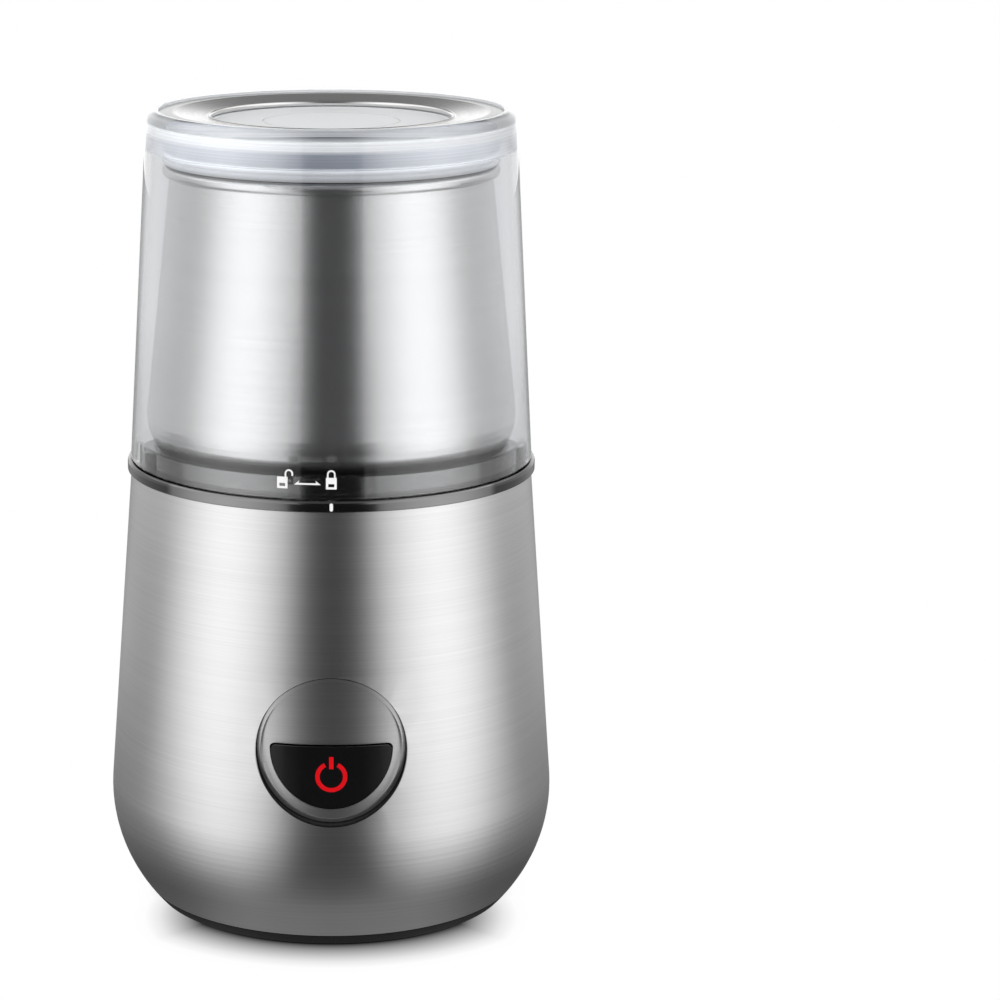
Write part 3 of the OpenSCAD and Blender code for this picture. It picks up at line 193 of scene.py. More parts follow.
# line and along are how fine the noise is across and along the brushing, and broad lines are shares of them
brushed = {"color": (0.62, 0.62, 0.62), "shade": 0.05, "rough": 0.31, "vary": 0.05, "depth": 0.000007,
           "line": 3000.0, "along": 14.0, "broadLine": 0.12, "broadAlong": 0.5, "broadShare": 0.2,
           "dark": 0.3, "light": 0.7, "edge": None}


def brushedSteel(name, **changes):
    v = {**brushed, **changes}
    f = Finish(name)
    fine = f.noise(f.scaled((v["along"], v["along"], v["line"])), detail=3.0)
    broadAlong = v["along"] * v["broadAlong"]
    broad = f.noise(f.scaled((broadAlong, broadAlong, v["line"] * v["broadLine"])), detail=2.0)
    lines = fine * (1 - v["broadShare"]) + broad * v["broadShare"]
    skin = f.mix(f.ramp(lines, [(v["dark"], 0.0), (v["light"], 1.0)]), toned(v["color"], 1 - v["shade"]),
                 toned(v["color"], 1 + v["shade"]))
    # where an edge is given, painted gap shade goes on it
    if v["edge"]:
        skin = f.mix(blackEdge(f, *v["edge"]), skin, paintedGapShade["black"])
    return f.shade({"Base Color": skin, "Metallic": 1.0, "Normal": f.bump(lines, 1.0, v["depth"]),
                    "Roughness": lines * v["vary"] + (v["rough"] - v["vary"] / 2)})


# brush lines run round the axis, and outside the rim (in mm) the steel is duller
satin = {"color": (0.68, 0.675, 0.67), "dark": 0.9, "light": 1.08, "rough": 0.2, "vary": 0.1, "pitch": 2500.0,
         "cloud": 60, "cloudShare": 0.3, "depth": 0.000006, "rim": 38.2, "soft": 0.15, "dullDark": 0.62,
         "dullLight": 0.66}


def turnedSteel(name):
    v = satin
    f = Finish(name)
    radius, height = f.radius()
    where = f.add("ShaderNodeCombineXYZ", {}, {0: radius * v["pitch"], 1: height * v["pitch"], 2: 0.0})
    lines = f.noise(where, detail=3.0)
    cloud = f.noise(f.scaled((v["cloud"], v["cloud"], v["cloud"])), detail=2.0)
    tone = lines * (1 - v["cloudShare"]) + cloud * v["cloudShare"]
    bright = f.mix(tone, toned(v["color"], v["dark"]), toned(v["color"], v["light"]))
    dull = f.mix(lines, toned(v["color"], v["dullDark"]), toned(v["color"], v["dullLight"]))
    outside = f.rampByMm(radius, 50, [(v["rim"] - v["soft"], 0.0), (v["rim"] + v["soft"], 1.0)])
    return f.shade({"Base Color": f.mix(outside, bright, dull), "Metallic": 1.0,
                    "Roughness": lines * v["vary"] + (v["rough"] - v["vary"] / 2),
                    "Normal": f.bump(lines, 1.0, v["depth"])})


# the coat is how much of a polished coat there is; where it is given as stops by the turn from the front, it
# paints a stronger sheen on the front than round the sides
mouldedSkin = {"grain": 900.0, "cloud": 40.0, "depth": 0.00001, "shade": 0.25, "vary": 0.06, "gloss": 1.5,
               "coat": 0.0, "coatRough": 0.06, "coatGloss": 1.5}


def moulded(name, color, rough, **changes):
    v = {**mouldedSkin, **changes}
    f = Finish(name)
    grain = f.noise(f.place(), v["grain"], 3.0, 0.6)
    cloud = f.noise(f.place(), v["cloud"], 2.0)
    coat = f.ramp(f.turn(), v["coat"]) if isinstance(v["coat"], list) else v["coat"]
    return f.shade({"Base Color": f.mix(cloud, toned(color, 1 - v["shade"]), toned(color, 1 + v["shade"])),
                    "Roughness": (grain + cloud) * v["vary"] + (rough - v["vary"]), "IOR": v["gloss"],
                    "Coat Weight": coat, "Coat Roughness": v["coatRough"], "Coat IOR": v["coatGloss"],
                    "Normal": f.bump(grain, 1.0, v["depth"])})


plating = {"grain": 700.0, "dark": 0.85, "vary": 0.15, "smoother": 0.07, "depth": 0.000008}


def plated(name, color, rough):
    v = plating
    f = Finish(name)
    spots = f.noise(f.place(), v["grain"], 3.0)
    return f.shade({"Base Color": f.mix(spots, toned(color, v["dark"]), color), "Metallic": 1.0,
                    "Roughness": spots * v["vary"] + (rough - v["smoother"]),
                    "Normal": f.bump(spots, 1.0, v["depth"])})


laminations = {"color": (0.16, 0.17, 0.19), "dark": 1.0, "light": 1.7, "metal": 0.8, "rough": 0.35,
               "vary": 0.2, "run": "Z", "pitch": 320.0, "ripple": 0.4, "grain": 160.0, "detail": 3.0,
               "bump": 0.8, "depth": 0.00008}
windings = {"color": (0.62, 0.25, 0.09), "dark": 0.7, "light": 1.0, "metal": 0.85, "rough": 0.3,
            "vary": 0.15, "run": "DIAGONAL", "pitch": 260.0, "ripple": 1.5, "grain": 300.0, "detail": 2.0,
            "bump": 0.9, "depth": 0.0002}


def layered(name, v):  # stacked sheets or wound strands
    f = Finish(name)
    layers = f.add("ShaderNodeTexWave", {"bands_direction": v["run"]},
                   {"Vector": f.place(), "Scale": v["pitch"], "Distortion": v["ripple"], "Detail": 1.0})
    tone = f.noise(f.place(), v["grain"], v["detail"])
    return f.shade({"Base Color": f.mix(tone, toned(v["color"], v["dark"]), toned(v["color"], v["light"])),
                    "Metallic": v["metal"], "Roughness": tone * v["vary"] + v["rough"],
                    "Normal": f.bump(layers, v["bump"], v["depth"])})


# clear walls, with cloudy inner faces round the top: heights and radii in mm
clearLid = {"color": (0.962, 0.968, 0.975), "rough": 0.01, "vary": 0.02, "haze": 30.0, "gloss": 1.49,
            "inner": 43.8, "soft": 0.2, "edgeFrom": 196.5, "edgeSlope": 2.5,
            "cloudy": [(187.8, 0.0), (188.0, 0.45), (191.625, 0.5), (192.5, 0.88)],
            "milk": [(188.0, (0.40, 0.43, 0.50)), (191.625, (0.46, 0.49, 0.56)),
                     (192.375, (0.92, 0.94, 0.96))],
            "streaksOut": 300, "streaksUp": 2600, "streakShare": 0.8, "evenShare": 0.6,
            # painted glow in the cloudy faces, which no lamp gives, by the turn from the front, below and
            # above a change of height
            "changeFrom": 191.625, "changeTo": 192.375,
            "below": [(0.04, 0.0), (0.10, 0.22), (0.20, 0.42), (0.30, 0.36), (0.38, 0.27), (0.45, 0.08),
                      (0.55, 0.05), (1.0, 0.2)],
            "above": [(0.04, 0.11), (0.10, 0.17), (0.20, 0.21), (0.30, 0.15), (0.38, 0.07), (0.46, 0.0),
                      (1.0, 0.04)]}


def clearPlastic(name):
    v = clearLid
    f = Finish(name)
    haze = f.noise(f.place(), v["haze"], 2.0)
    walls = f.add("ShaderNodeBsdfPrincipled", {}, {"Base Color": v["color"], "IOR": v["gloss"],
                                                   "Roughness": haze * v["vary"] + v["rough"],
                                                   "Transmission Weight": 1.0})
    radius, z = f.radius()
    edge = (z - v["edgeFrom"] * mm).maths("MAXIMUM", 0.0) * v["edgeSlope"]
    inner = f.rampByMm(radius + edge, 100, [(v["inner"], 1.0), (v["inner"] + v["soft"], 0.0)])
    where = f.add("ShaderNodeCombineXYZ", {}, {0: radius * v["streaksOut"], 1: 0.0, 2: z * v["streaksUp"]})
    streaks = f.noise(where, detail=2.0) * v["streakShare"] + v["evenShare"]
    change = f.rampByMm(z, 250, [(v["changeFrom"], 0.0), (v["changeTo"], 1.0)])
    # painted light: the cloudy faces glow by the turn from the front
    lit = f.mix(change, f.ramp(f.turn(), v["below"]), f.ramp(f.turn(), v["above"]))
    milk = f.rampByMm(z, 250, v["milk"])
    cloudy = f.add("ShaderNodeBsdfPrincipled", {}, {"Base Color": milk, "Roughness": 1.0,
                                                    "Specular IOR Level": 0.0, "Emission Color": lit,
                                                    "Emission Strength": 1.0})
    skin = f.between(inner * f.rampByMm(z, 250, v["cloudy"]) * streaks, walls, cloudy)
    clear = f.add("ShaderNodeBsdfTransparent", {}, {"Color": v["color"]})
    return f.show(f.between(f.add("ShaderNodeLightPath", output="Is Shadow Ray"), skin, clear))


# the piece is darker below a given height in mm, a painted shade, and glow is a painted glow of its own
# colour
softSkin = {"grain": 120.0, "dark": 0.93, "vary": 0.1, "reach": 0.002, "bump": 0.3, "depth": 0.00005,
            "glow": 0.0, "dullBelow": None, "dullDark": 0.5, "paintedShadeSoft": 1.25, "paintedShadeWander": 0.25}


def silicone(name, color, rough, through, **changes):
    v = {**softSkin, **changes}
    f = Finish(name)
    cloud = f.noise(f.place(), v["grain"], 3.0)
    if v["dullBelow"] is None:
        skin = f.mix(cloud, toned(color, v["dark"]), color)
    else:
        height = f.axes()[2] + cloud * (v["paintedShadeWander"] * mm)
        upper = f.rampByMm(height, 250, [(v["dullBelow"], 0.0), (v["dullBelow"] + v["paintedShadeSoft"], 1.0)])
        skin = f.mix(upper, toned(color, v["dullDark"]), color)
    return f.shade({"Base Color": skin, "Emission Color": skin, "Emission Strength": v["glow"],
                    "Roughness": cloud * v["vary"] + (rough - v["vary"] / 2), "Subsurface Weight": through,
                    "Subsurface Radius": (0.6, 0.6, 0.6), "Subsurface Scale": v["reach"],
                    "Normal": f.bump(cloud, v["bump"], v["depth"])})


redLight = {"dark": (0.50, 0.0, 0.003), "light": (0.62, 0.0, 0.005), "glow": (0.8, 0.0, 0.004),
            "strength": 0.07, "grain": 900.0, "rough": 0.5, "shine": 0.1}


def litRed(name):
    v = redLight
    f = Finish(name)
    cloud = f.noise(f.place(), v["grain"], 2.0)
    return f.shade({"Base Color": f.mix(cloud, v["dark"], v["light"]), "Roughness": v["rough"],
                    "Specular IOR Level": v["shine"], "Emission Color": v["glow"],
                    "Emission Strength": v["strength"]})


whiteInk = {"color": (0.86, 0.86, 0.86), "dark": 0.94, "grain": 1500.0, "rough": 0.4, "bump": 0.3,
            "depth": 0.00001}


def printed(name):
    v = whiteInk
    f = Finish(name)
    cloud = f.noise(f.place(), v["grain"], 2.0)
    return f.shade({"Base Color": f.mix(cloud, toned(v["color"], v["dark"]), v["color"]),
                    "Roughness": v["rough"], "Normal": f.bump(cloud, v["bump"], v["depth"])})


finishes = {
    # edge paints shade into the gap round the hole in the skin and round the panel
    "brushed_steel": brushedSteel("brushedSkin", edge=(17.0, 17.97)),
    "cup_steel": brushedSteel("brushedCup", color=(0.67, 0.67, 0.67), rough=0.26, vary=0.04, shade=0.03,
                              depth=0.000004),
    "panel_steel": brushedSteel("brushedPanel", rough=0.33, edge=(17.62, 18.0)),
    "ring_steel": turnedSteel("satinRing"),
    "blade_steel": brushedSteel("bladeSteel", color=(0.66, 0.66, 0.67), rough=0.22, line=500.0, along=500.0),
    "plated_steel": plated("platedSteel", (0.62, 0.62, 0.64), 0.3),
    "cast_metal": moulded("castAlloy", (0.42, 0.43, 0.45), 0.5, grain=1400.0, depth=0.00006),
    "lamination_steel": layered("laminations", laminations),
    "copper_winding": layered("enamelledCopper", windings),
    "brass": plated("brassSheet", (0.72, 0.5, 0.2), 0.35),
    "carbon": moulded("carbonBlock", (0.02, 0.02, 0.02), 0.6),
    "clear_plastic": clearPlastic("clearLid"),
    "frosted_plastic": moulded("frostedWindow", (0.69, 0.70, 0.71), 0.35, grain=1200.0, shade=0.02),
    # the seal gets painted shade low down and a painted glow
    "clear_silicone": silicone("clearSilicone", (0.88, 0.90, 0.94), 0.4, 0.3, dullBelow=186.1, glow=0.22),
    # painted sheen: the coat is full on the front and weaker round the sides
    "black_plastic": moulded("blackPlastic", (0.002, 0.002, 0.0022), 0.14, grain=1100.0, depth=0.000001,
                             gloss=1.3, coat=[(0.270, 1.0), (0.284, 0.35), (1.0, 0.35)], coatRough=0.14,
                             coatGloss=2.5),
    "gloss_black": moulded("glossBlack", (0.004, 0.004, 0.0045), 0.14, grain=500.0, depth=0.000002, gloss=1.4,
                           coat=0.1),
    "housing_plastic": moulded("housingPlastic", (0.01, 0.01, 0.011), 0.5, grain=1800.0, depth=0.00003),
    "pale_plastic": moulded("palePlastic", (0.7, 0.68, 0.62), 0.45, shade=0.05),
    "board_green": moulded("solderMask", (0.02, 0.14, 0.05), 0.35),
    "rubber": moulded("rubber", (0.02, 0.02, 0.02), 0.75, grain=2500.0, depth=0.00004),
    "red_silicone": silicone("redSilicone", (0.45, 0.05, 0.03), 0.5, 0.1),
    "red_symbol": litRed("litRed"),
    "white_print": printed("whitePrint"),
}
footBlack = moulded("footBlack", (0.006, 0.006, 0.0065), 0.4, grain=1400.0, gloss=1.3)

for row in frame["record"]["subparts"]:
    for slot in nodes[row["node"]].material_slots:
        slot.material = finishes[row["material_slot"]]
for slot in nodes["bottom_cover"].material_slots:
    slot.material = footBlack
print("finishes given to", len(nodes), "nodes")


class Shape(NodeTree):  # a geometry node tree with named sizes
    def __init__(self, name, sizes):
        super().__init__(bpy.data.node_groups.new(name, "GeometryNodeTree"))
        sockets = self.tree.interface
        sockets.new_socket("Geometry", in_out="INPUT", socket_type="NodeSocketGeometry")
        for size, kind in sizes.items():
            sockets.new_socket(size, in_out="INPUT", socket_type="NodeSocket" + kind)
        sockets.new_socket("Geometry", in_out="OUTPUT", socket_type="NodeSocketGeometry")
        self.given = self.add("NodeGroupInput")

    def size(self, name):
        return self.given.output(name)

    def end(self, geometry):
        plain = self.add("GeometryNodeRealizeInstances", {}, {"Geometry": geometry})
        dressed = self.add("GeometryNodeSetMaterial", {}, {"Geometry": plain,
                                                           "Material": self.size("Finish")})
        self.add("NodeGroupOutput", {}, {0: dressed})


def newPiece(name, data):
    piece = bpy.data.objects.new(name, data)
    bpy.context.scene.collection.objects.link(piece)
    return piece


def applied(piece):  # the piece's mesh with its modifiers worked in
    bpy.context.view_layer.update()
    mesh = bpy.data.meshes.new_from_object(piece.evaluated_get(bpy.context.evaluated_depsgraph_get()))
    piece.modifiers.clear()
    return mesh


def made(name, start, shape, values):  # runs a tree on a starting mesh and keeps the result as a plain mesh
    rough = newPiece(name + "Start", start)
    steps = rough.modifiers.new("shape", "NODES")
    steps.node_group = shape.tree
    for item in shape.tree.interface.items_tree:
        if item.in_out == "INPUT" and item.name in values:
            steps[item.identifier] = values[item.name]
    mesh = applied(rough)
    mesh.name = name
    bpy.data.objects.remove(rough)
    return newPiece(name, mesh)


mergeWithin = 0.000001  # metres
hardEdge = math.radians(40)


def cleaned(piece):  # closes seams, turns faces outwards, keeps hard edges hard
    shape = bmesh.new()
    shape.from_mesh(piece.data)
    bmesh.ops.remove_doubles(shape, verts=shape.verts, dist=mergeWithin)
    bmesh.ops.recalc_face_normals(shape, faces=shape.faces)
    for face in shape.faces:
        face.smooth = True
    for edge in shape.edges:
        edge.smooth = edge.calc_face_angle(math.pi) < hardEdge
    shape.to_mesh(piece.data)
    shape.free()
    return piece


def arcPoints(centre, radius, first, last, steps):  # angles in degrees
    turns = [math.radians(first + (last - first) * k / steps) for k in range(steps + 1)]
    return [(centre[0] + radius * math.cos(a), centre[1] + radius * math.sin(a)) for a in turns]


turning = Shape("turnedPiece", {"Radius": "Float", "Segments": "Int", "Finish": "Material"})
outlineCurve = turning.add("GeometryNodeMeshToCurve", {}, {"Mesh": turning.size("Geometry")})
roundPath = turning.add("GeometryNodeCurvePrimitiveCircle", {}, {"Resolution": turning.size("Segments"),
                                                                 "Radius": turning.size("Radius")})
turning.end(turning.add("GeometryNodeCurveToMesh", {}, {"Curve": roundPath, "Profile Curve": outlineCurve}))


def turned(name, outline, finish, segments):  # turns an outline of (radius, height) in mm round the axis
    count = len(outline)
    middle = sum(radius for radius, height in outline) / count * mm
    start = bpy.data.meshes.new(name + "Outline")
    start.from_pydata([(radius * mm - middle, -height * mm, 0) for radius, height in outline],
                      [(k, (k + 1) % count) for k in range(count)], [])
    return cleaned(made(name, start, turning, {"Radius": middle, "Segments": segments, "Finish": finish}))


copying = Shape("ringOfCopies", {"Count": "Int", "Radius": "Float", "Turn": "Float", "Finish": "Material"})
places = copying.add("GeometryNodeMeshCircle", {}, {"Vertices": copying.size("Count"),
                                                    "Radius": copying.size("Radius")})
copies = copying.add("GeometryNodeInstanceOnPoints", {}, {"Points": places,
                                                          "Instance": copying.size("Geometry")})
turnBy = copying.add("ShaderNodeCombineXYZ", {}, {2: copying.size("Turn")})
copying.end(copying.add("GeometryNodeTransform", {}, {"Geometry": copies, "Rotation": turnBy}))


def ringOf(name, one, finish, count, radius, turn):  # copies of a turned piece on a circle
    start = one.data.copy()
    bpy.data.objects.remove(one)
    return cleaned(made(name, start, copying, {"Count": count, "Radius": radius * mm,
                                               "Turn": math.radians(turn), "Finish": finish}))


def placed(piece, body, replaced):
    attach(piece, body)
    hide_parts(replaced)


# heights and radii of the clear lid
lid = {"low": 112.3, "top": 197.3, "lowRadius": 49.35, "topRadius": 44.8, "edge": 2.5, "lowEdge": 0.25,
       "wall": 1.8, "ledge": 0.8, "corner": 0.6, "under": 188.0, "seatRadius": 41.7, "seat": 196.2,
       "rimIn": 38.2, "dish": 30.9, "shoulder": 194.4, "windowRadius": 28.5, "windowLow": 193.0, "hole": 25.9,
       "ribIn": 36.0, "ribOut": 37.8, "ribLow": 185.7, "sealOut": 40.9, "segments": 256}


def lidRadius(height):  # outside of the wall
    share = (height - lid["low"]) / (lid["top"] - lid["edge"] - lid["low"])
    return lid["lowRadius"] + (lid["topRadius"] - lid["lowRadius"]) * share


def lidOutline():
    v = lid
    slope = (v["seat"] - v["shoulder"]) / (v["rimIn"] - v["dish"])
    roof = v["windowLow"] - v["wall"]
    roofHigh = v["shoulder"] + slope * (v["ribIn"] - v["dish"]) - v["wall"]
    ledge = lidRadius(v["under"]) - v["wall"]
    groove = v["seat"] - v["wall"]
    return ([(v["lowRadius"] - v["wall"], v["low"])]
            + arcPoints((v["lowRadius"] - v["lowEdge"], v["low"] + v["lowEdge"]), v["lowEdge"], -90, 0, 3)
            + arcPoints((v["topRadius"] - v["edge"], v["top"] - v["edge"]), v["edge"], 3, 90, 16)
            + [(v["seatRadius"], v["top"]), (v["seatRadius"], v["seat"]), (v["rimIn"], v["seat"]),
               (v["dish"], v["shoulder"]), (v["windowRadius"], v["shoulder"]),
               (v["windowRadius"], v["windowLow"]), (v["hole"], v["windowLow"]), (v["hole"], roof),
               (v["dish"], roof), (v["ribIn"], roofHigh),
               (v["ribIn"], v["ribLow"]), (v["ribOut"], v["ribLow"]), (v["ribOut"], v["under"]),
               (v["sealOut"], v["under"]), (v["sealOut"], groove)]
            + arcPoints((ledge - v["ledge"] - v["corner"], groove - v["corner"]), v["corner"], 90, 0, 6)
            + [(ledge - v["ledge"], v["under"]), (ledge, v["under"])])


# part of a ring between two turns, where lowAt gives the height of its low side at a turn
def sectorBlock(shape, radiusIn, radiusOut, first, last, lowAt, high, steps):
    rings = []
    for k in range(steps + 1):
        a = math.radians(first + (last - first) * k / steps)
        low = lowAt(a)
        rings.append([shape.verts.new((r * mm * math.cos(a), r * mm * math.sin(a), z * mm))
                      for r, z in ((radiusIn, low), (radiusOut, low), (radiusOut, high), (radiusIn, high))])
    for one, two in zip(rings, rings[1:]):
        for k in range(4):
            shape.faces.new((one[k], one[(k + 1) % 4], two[(k + 1) % 4], two[k]))
    shape.faces.new(rings[0])
    shape.faces.new(rings[-1])


# two bayonet lugs, and the ramp at the back that presses the interlock's pin
lugs = {"places": (0, 180), "half": 4.0, "inner": 45.75, "low": 113.0, "high": 117.0, "steps": 4, "bite": 0.3}
pinRamp = {"first": 74, "last": 93, "inner": 45.0, "low": 117.9, "high": 123.4, "rise": 2.5, "run": 10.17,
           "steps": 12}


def lidLugs():
    outer = lid["lowRadius"] - lid["wall"] + lugs["bite"]
    shape = bmesh.new()
    for middle in lugs["places"]:
        sectorBlock(shape, lugs["inner"], outer, middle - lugs["half"], middle + lugs["half"],
                    lambda a: lugs["low"], lugs["high"], lugs["steps"])
    v = pinRamp
    sectorBlock(shape, v["inner"], outer, v["first"], v["last"],
                lambda a: v["low"] + v["rise"] * max(0.0, outer * math.cos(a) / v["run"]),
                v["high"], v["steps"])
    bmesh.ops.recalc_face_normals(shape, faces=shape.faces)
    mesh = bpy.data.meshes.new("lidLugs")
    shape.to_mesh(mesh)
    shape.free()
    return newPiece("lidLugs", mesh)


lidCover = turned("lidCover", lidOutline(), finishes["clear_plastic"], lid["segments"])
lugPiece = lidLugs()
join = lidCover.modifiers.new("lugs", "BOOLEAN")
join.operation = "UNION"
join.solver = "EXACT"
join.object = lugPiece
lidCover.data = applied(lidCover)
bpy.data.objects.remove(lugPiece)
placed(cleaned(lidCover), "lid", "lid_cover")

# the printed symbols stand a hair proud of the lid
printProud = 0.04
symbols = bmesh.new()
symbols.from_mesh(nodes["lock_icons"].data)
bmesh.ops.remove_doubles(symbols, verts=symbols.verts, dist=mergeWithin)
for vertex in symbols.verts:
    vertex.co += Vector((vertex.co.x, vertex.co.y, 0)).normalized() * printProud * mm
symbolMesh = nodes["lock_icons"].data.copy()
symbols.to_mesh(symbolMesh)
symbols.free()
placed(newPiece("lockIcons", symbolMesh), "lid", "lock_icons")

# flat flange, soft bend down into the dish, rolled lip inside
steelRing = {"radius": 41.6, "low": 196.2, "high": 196.8, "edge": 0.15, "bendAt": 38.2, "bend": 2.4,
             "bendTurn": 8, "lipAt": (29.6, 195.3), "lip": 0.7, "lipFrom": 40, "lipTo": 320, "segments": 256}


def ringOutline():
    v = steelRing
    high = v["high"] - v["edge"]
    return ([(v["radius"], v["low"]), (v["radius"], high)]
            + arcPoints((v["radius"] - v["edge"], high), v["edge"], 0, 90, 4)
            + arcPoints((v["bendAt"], v["high"] - v["bend"]), v["bend"], 90, 90 + v["bendTurn"], 3)
            + arcPoints(v["lipAt"], v["lip"], v["lipFrom"], v["lipTo"], 16)
            + arcPoints((v["bendAt"], v["low"] - v["bend"]), v["bend"], 90 + v["bendTurn"], 90, 3))


topRing = turned("topRing", ringOutline(), finishes["ring_steel"], steelRing["segments"])
placed(topRing, "lid", "top_ring")

# centre and radius of each rounding
seal = {"corner": ((38.5, 185.3), 0.5), "lowBulge": ((40.05, 185.6), 0.8),
        "highBulge": ((40.15, 187.25), 0.75), "innerTop": (38.0, 188.0), "segments": 192}
sealOutline = (arcPoints(*seal["corner"], 180, 270, 4) + arcPoints(*seal["lowBulge"], -90, 60, 8)
               + arcPoints(*seal["highBulge"], -60, 90, 8) + [seal["innerTop"]])
sealRing = turned("sealRing", sealOutline, finishes["clear_silicone"], seal["segments"])
placed(sealRing, "seal", "lid_seal")
print("lid made")

# a grooved foot, four of them on a ring
foot = {"radius": 5.0, "edge": 0.5, "grooves": (1.4, 2.6, 3.8), "groove": 0.35, "count": 4, "turn": 45,
        "segments": 40}


def footOutline(height):
    v = foot
    wide, deep = v["groove"], v["groove"]
    sole = [(0.0, 0.0)]
    for r in v["grooves"]:
        sole += [(r - wide, 0.0), (r - wide / 2, deep), (r + wide / 2, deep), (r + wide, 0.0)]
    return sole + arcPoints((v["radius"] - v["edge"], v["edge"]), v["edge"], -90, 0, 5) + [
        (v["radius"], height), (0.0, height)]


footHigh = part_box("rubber_feet")[1]
oneFoot = turned("oneFoot", footOutline(footHigh.z / mm), finishes["rubber"], foot["segments"])
footSide = footHigh.x / mm - foot["radius"]
feet = ringOf("rubberFeet", oneFoot, finishes["rubber"], foot["count"], math.hypot(footSide, footSide),
              foot["turn"])
placed(feet, "base", "rubber_feet")

# a rubber sleeve with a waist under each arm of the motor's mount
damper = {"radius": 4.5, "hole": 1.8, "edge": 0.3, "waist": 0.8, "steps": 12, "ring": 33.0, "count": 3,
          "turn": 90, "segments": 40}


def damperOutline(low, high):
    v = damper
    rim = v["radius"] - v["edge"]
    long = high - low - 2 * v["edge"]
    side = [(v["radius"] - v["waist"] * math.sin(math.pi * k / v["steps"]) ** 2,
             low + v["edge"] + long * k / v["steps"]) for k in range(v["steps"] + 1)]
    return [(v["hole"], low), (rim, low)] + side + [(rim, high), (v["hole"], high)]


damperLow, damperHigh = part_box("mount_dampers")
oneDamper = turned("oneDamper", damperOutline(damperLow.z / mm, damperHigh.z / mm), finishes["rubber"],
                   damper["segments"])
dampers = ringOf("mountDampers", oneDamper, finishes["rubber"], damper["count"], damper["ring"],
                 damper["turn"])
placed(dampers, "base", "mount_dampers")

# the soft washer under the cup's bearing, grooved on top
washer = {"hole": 5.65, "groove": 0.12, "grooveTop": 0.3, "grooveLow": 0.1, "grooves": (7.2, 8.6),
          "segments": 96}


def washerOutline(low, high, outer):
    v = washer
    bulge = (high - low) / 2
    top = []
    for r in v["grooves"]:
        top = [(r + v["grooveTop"], high), (r + v["grooveLow"], high - v["groove"]),
               (r - v["grooveLow"], high - v["groove"]), (r - v["grooveTop"], high)] + top
    return ([(v["hole"], low)] + arcPoints((outer - bulge, low + bulge), bulge, -90, 90, 8) + top
            + [(v["hole"], high)])


washerLow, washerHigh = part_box("bush_seal")
bushSeal = turned("bushSeal", washerOutline(washerLow.z / mm, washerHigh.z / mm, washerHigh.x / mm),
                  finishes["red_silicone"], washer["segments"])
placed(bushSeal, "cup", "bush_seal")
print("soft parts made")

# metres and degrees, with the lens and the sensor in mm
view = {"back": 0.779, "height": 0.2866, "down": 13.45, "lens": 116.3, "sensor": 36, "shift": 0.1687,
        "near": 0.01}

camera = newPiece("camera", bpy.data.cameras.new("camera"))
camera.location = (0, -view["back"], view["height"])
camera.rotation_euler = (math.radians(90 - view["down"]), 0, 0)
camera.data.lens = view["lens"]
camera.data.sensor_width = view["sensor"]
camera.data.shift_x = view["shift"]
camera.data.clip_start = view["near"]
bpy.context.scene.camera = camera
bpy.context.scene.view_settings.view_transform = "Standard"

lamps = {"side": 60.0, "away": 1.3, "height": 0.55, "size": (0.9, 1.1), "power": 8.0,
         "topPlace": (0, 0.1, 1.4), "topSize": (1.0, 1.0), "topPower": 6.0, "aim": (0, 0, 0.1)}


def softLamp(name, place, size, power):
    lamp = bpy.data.lights.new(name, "AREA")
    lamp.shape = "RECTANGLE"
    lamp.size, lamp.size_y = size
    lamp.energy = power
    piece = newPiece(name, lamp)
    piece.location = place
    piece.rotation_euler = (Vector(lamps["aim"]) - Vector(place)).to_track_quat("-Z", "Y").to_euler()
    piece.visible_glossy = False  # the tent gives the steel its reflections
    piece.visible_transmission = False


for name, side in (("sideLampLeft", -1), ("sideLampRight", 1)):
    turn = math.radians(lamps["side"]) * side
    softLamp(name, (lamps["away"] * math.sin(turn), -lamps["away"] * math.cos(turn), lamps["height"]),
             lamps["size"], lamps["power"])
softLamp("topLamp", lamps["topPlace"], lamps["topSize"], lamps["topPower"])

skyLight = 0.55


def studioWorld():  # white where it is seen, dimmer where it lights the object
    world = bpy.data.worlds.new("studioWorld")
    world.use_nodes = True
    world.node_tree.nodes.clear()
    sky = NodeTree(world.node_tree)
    rays = sky.add("ShaderNodeLightPath")
    bent = rays.output("Is Glossy Ray").maths("MAXIMUM", rays.output("Is Transmission Ray"))
    lighting = sky.add("ShaderNodeBackground", {}, {"Color": (1, 1, 1), "Strength": skyLight})
    backdrop = sky.add("ShaderNodeBackground", {}, {"Color": (1, 1, 1), "Strength": 1.0})
    seen = rays.output("Is Camera Ray").maths("MAXIMUM", bent)
    sky.add("ShaderNodeOutputWorld", {}, {"Surface": sky.between(seen, lighting, backdrop)})
    return world


bpy.context.scene.world = studioWorld()


def stagePiece(name, mesh, finish):
    piece = newPiece(name, mesh)
    mesh.materials.append(finish)
    return piece


# how bright the tent is at each share of the way from the front (0) round to the back (1)
tentStops = [(0.0, 0.012), (0.100, 0.012), (0.107, 0.44), (0.17, 0.66), (0.25, 0.95), (0.33, 1.05),
             (0.40, 0.93), (0.46, 0.74), (0.52, 0.50), (0.56, 0.44), (0.67, 0.47), (0.74, 0.50),
             (0.78, 0.48), (0.88, 0.80), (0.95, 1.0), (1.0, 1.0)]
tentSides = [stop for stop in tentStops if stop[0] < 0.8]
floorStops = [(0.0, 0.012), (0.129, 0.012), (0.138, 0.34), (0.17, 0.58), (0.25, 0.88), (0.33, 1.04),
              (0.40, 0.95), (0.46, 0.72), (0.52, 0.46), (0.555, 0.34), (0.562, 0.25), (0.67, 0.29),
              (0.78, 0.34), (0.84, 0.30), (0.88, 0.18), (1.0, 0.2)]
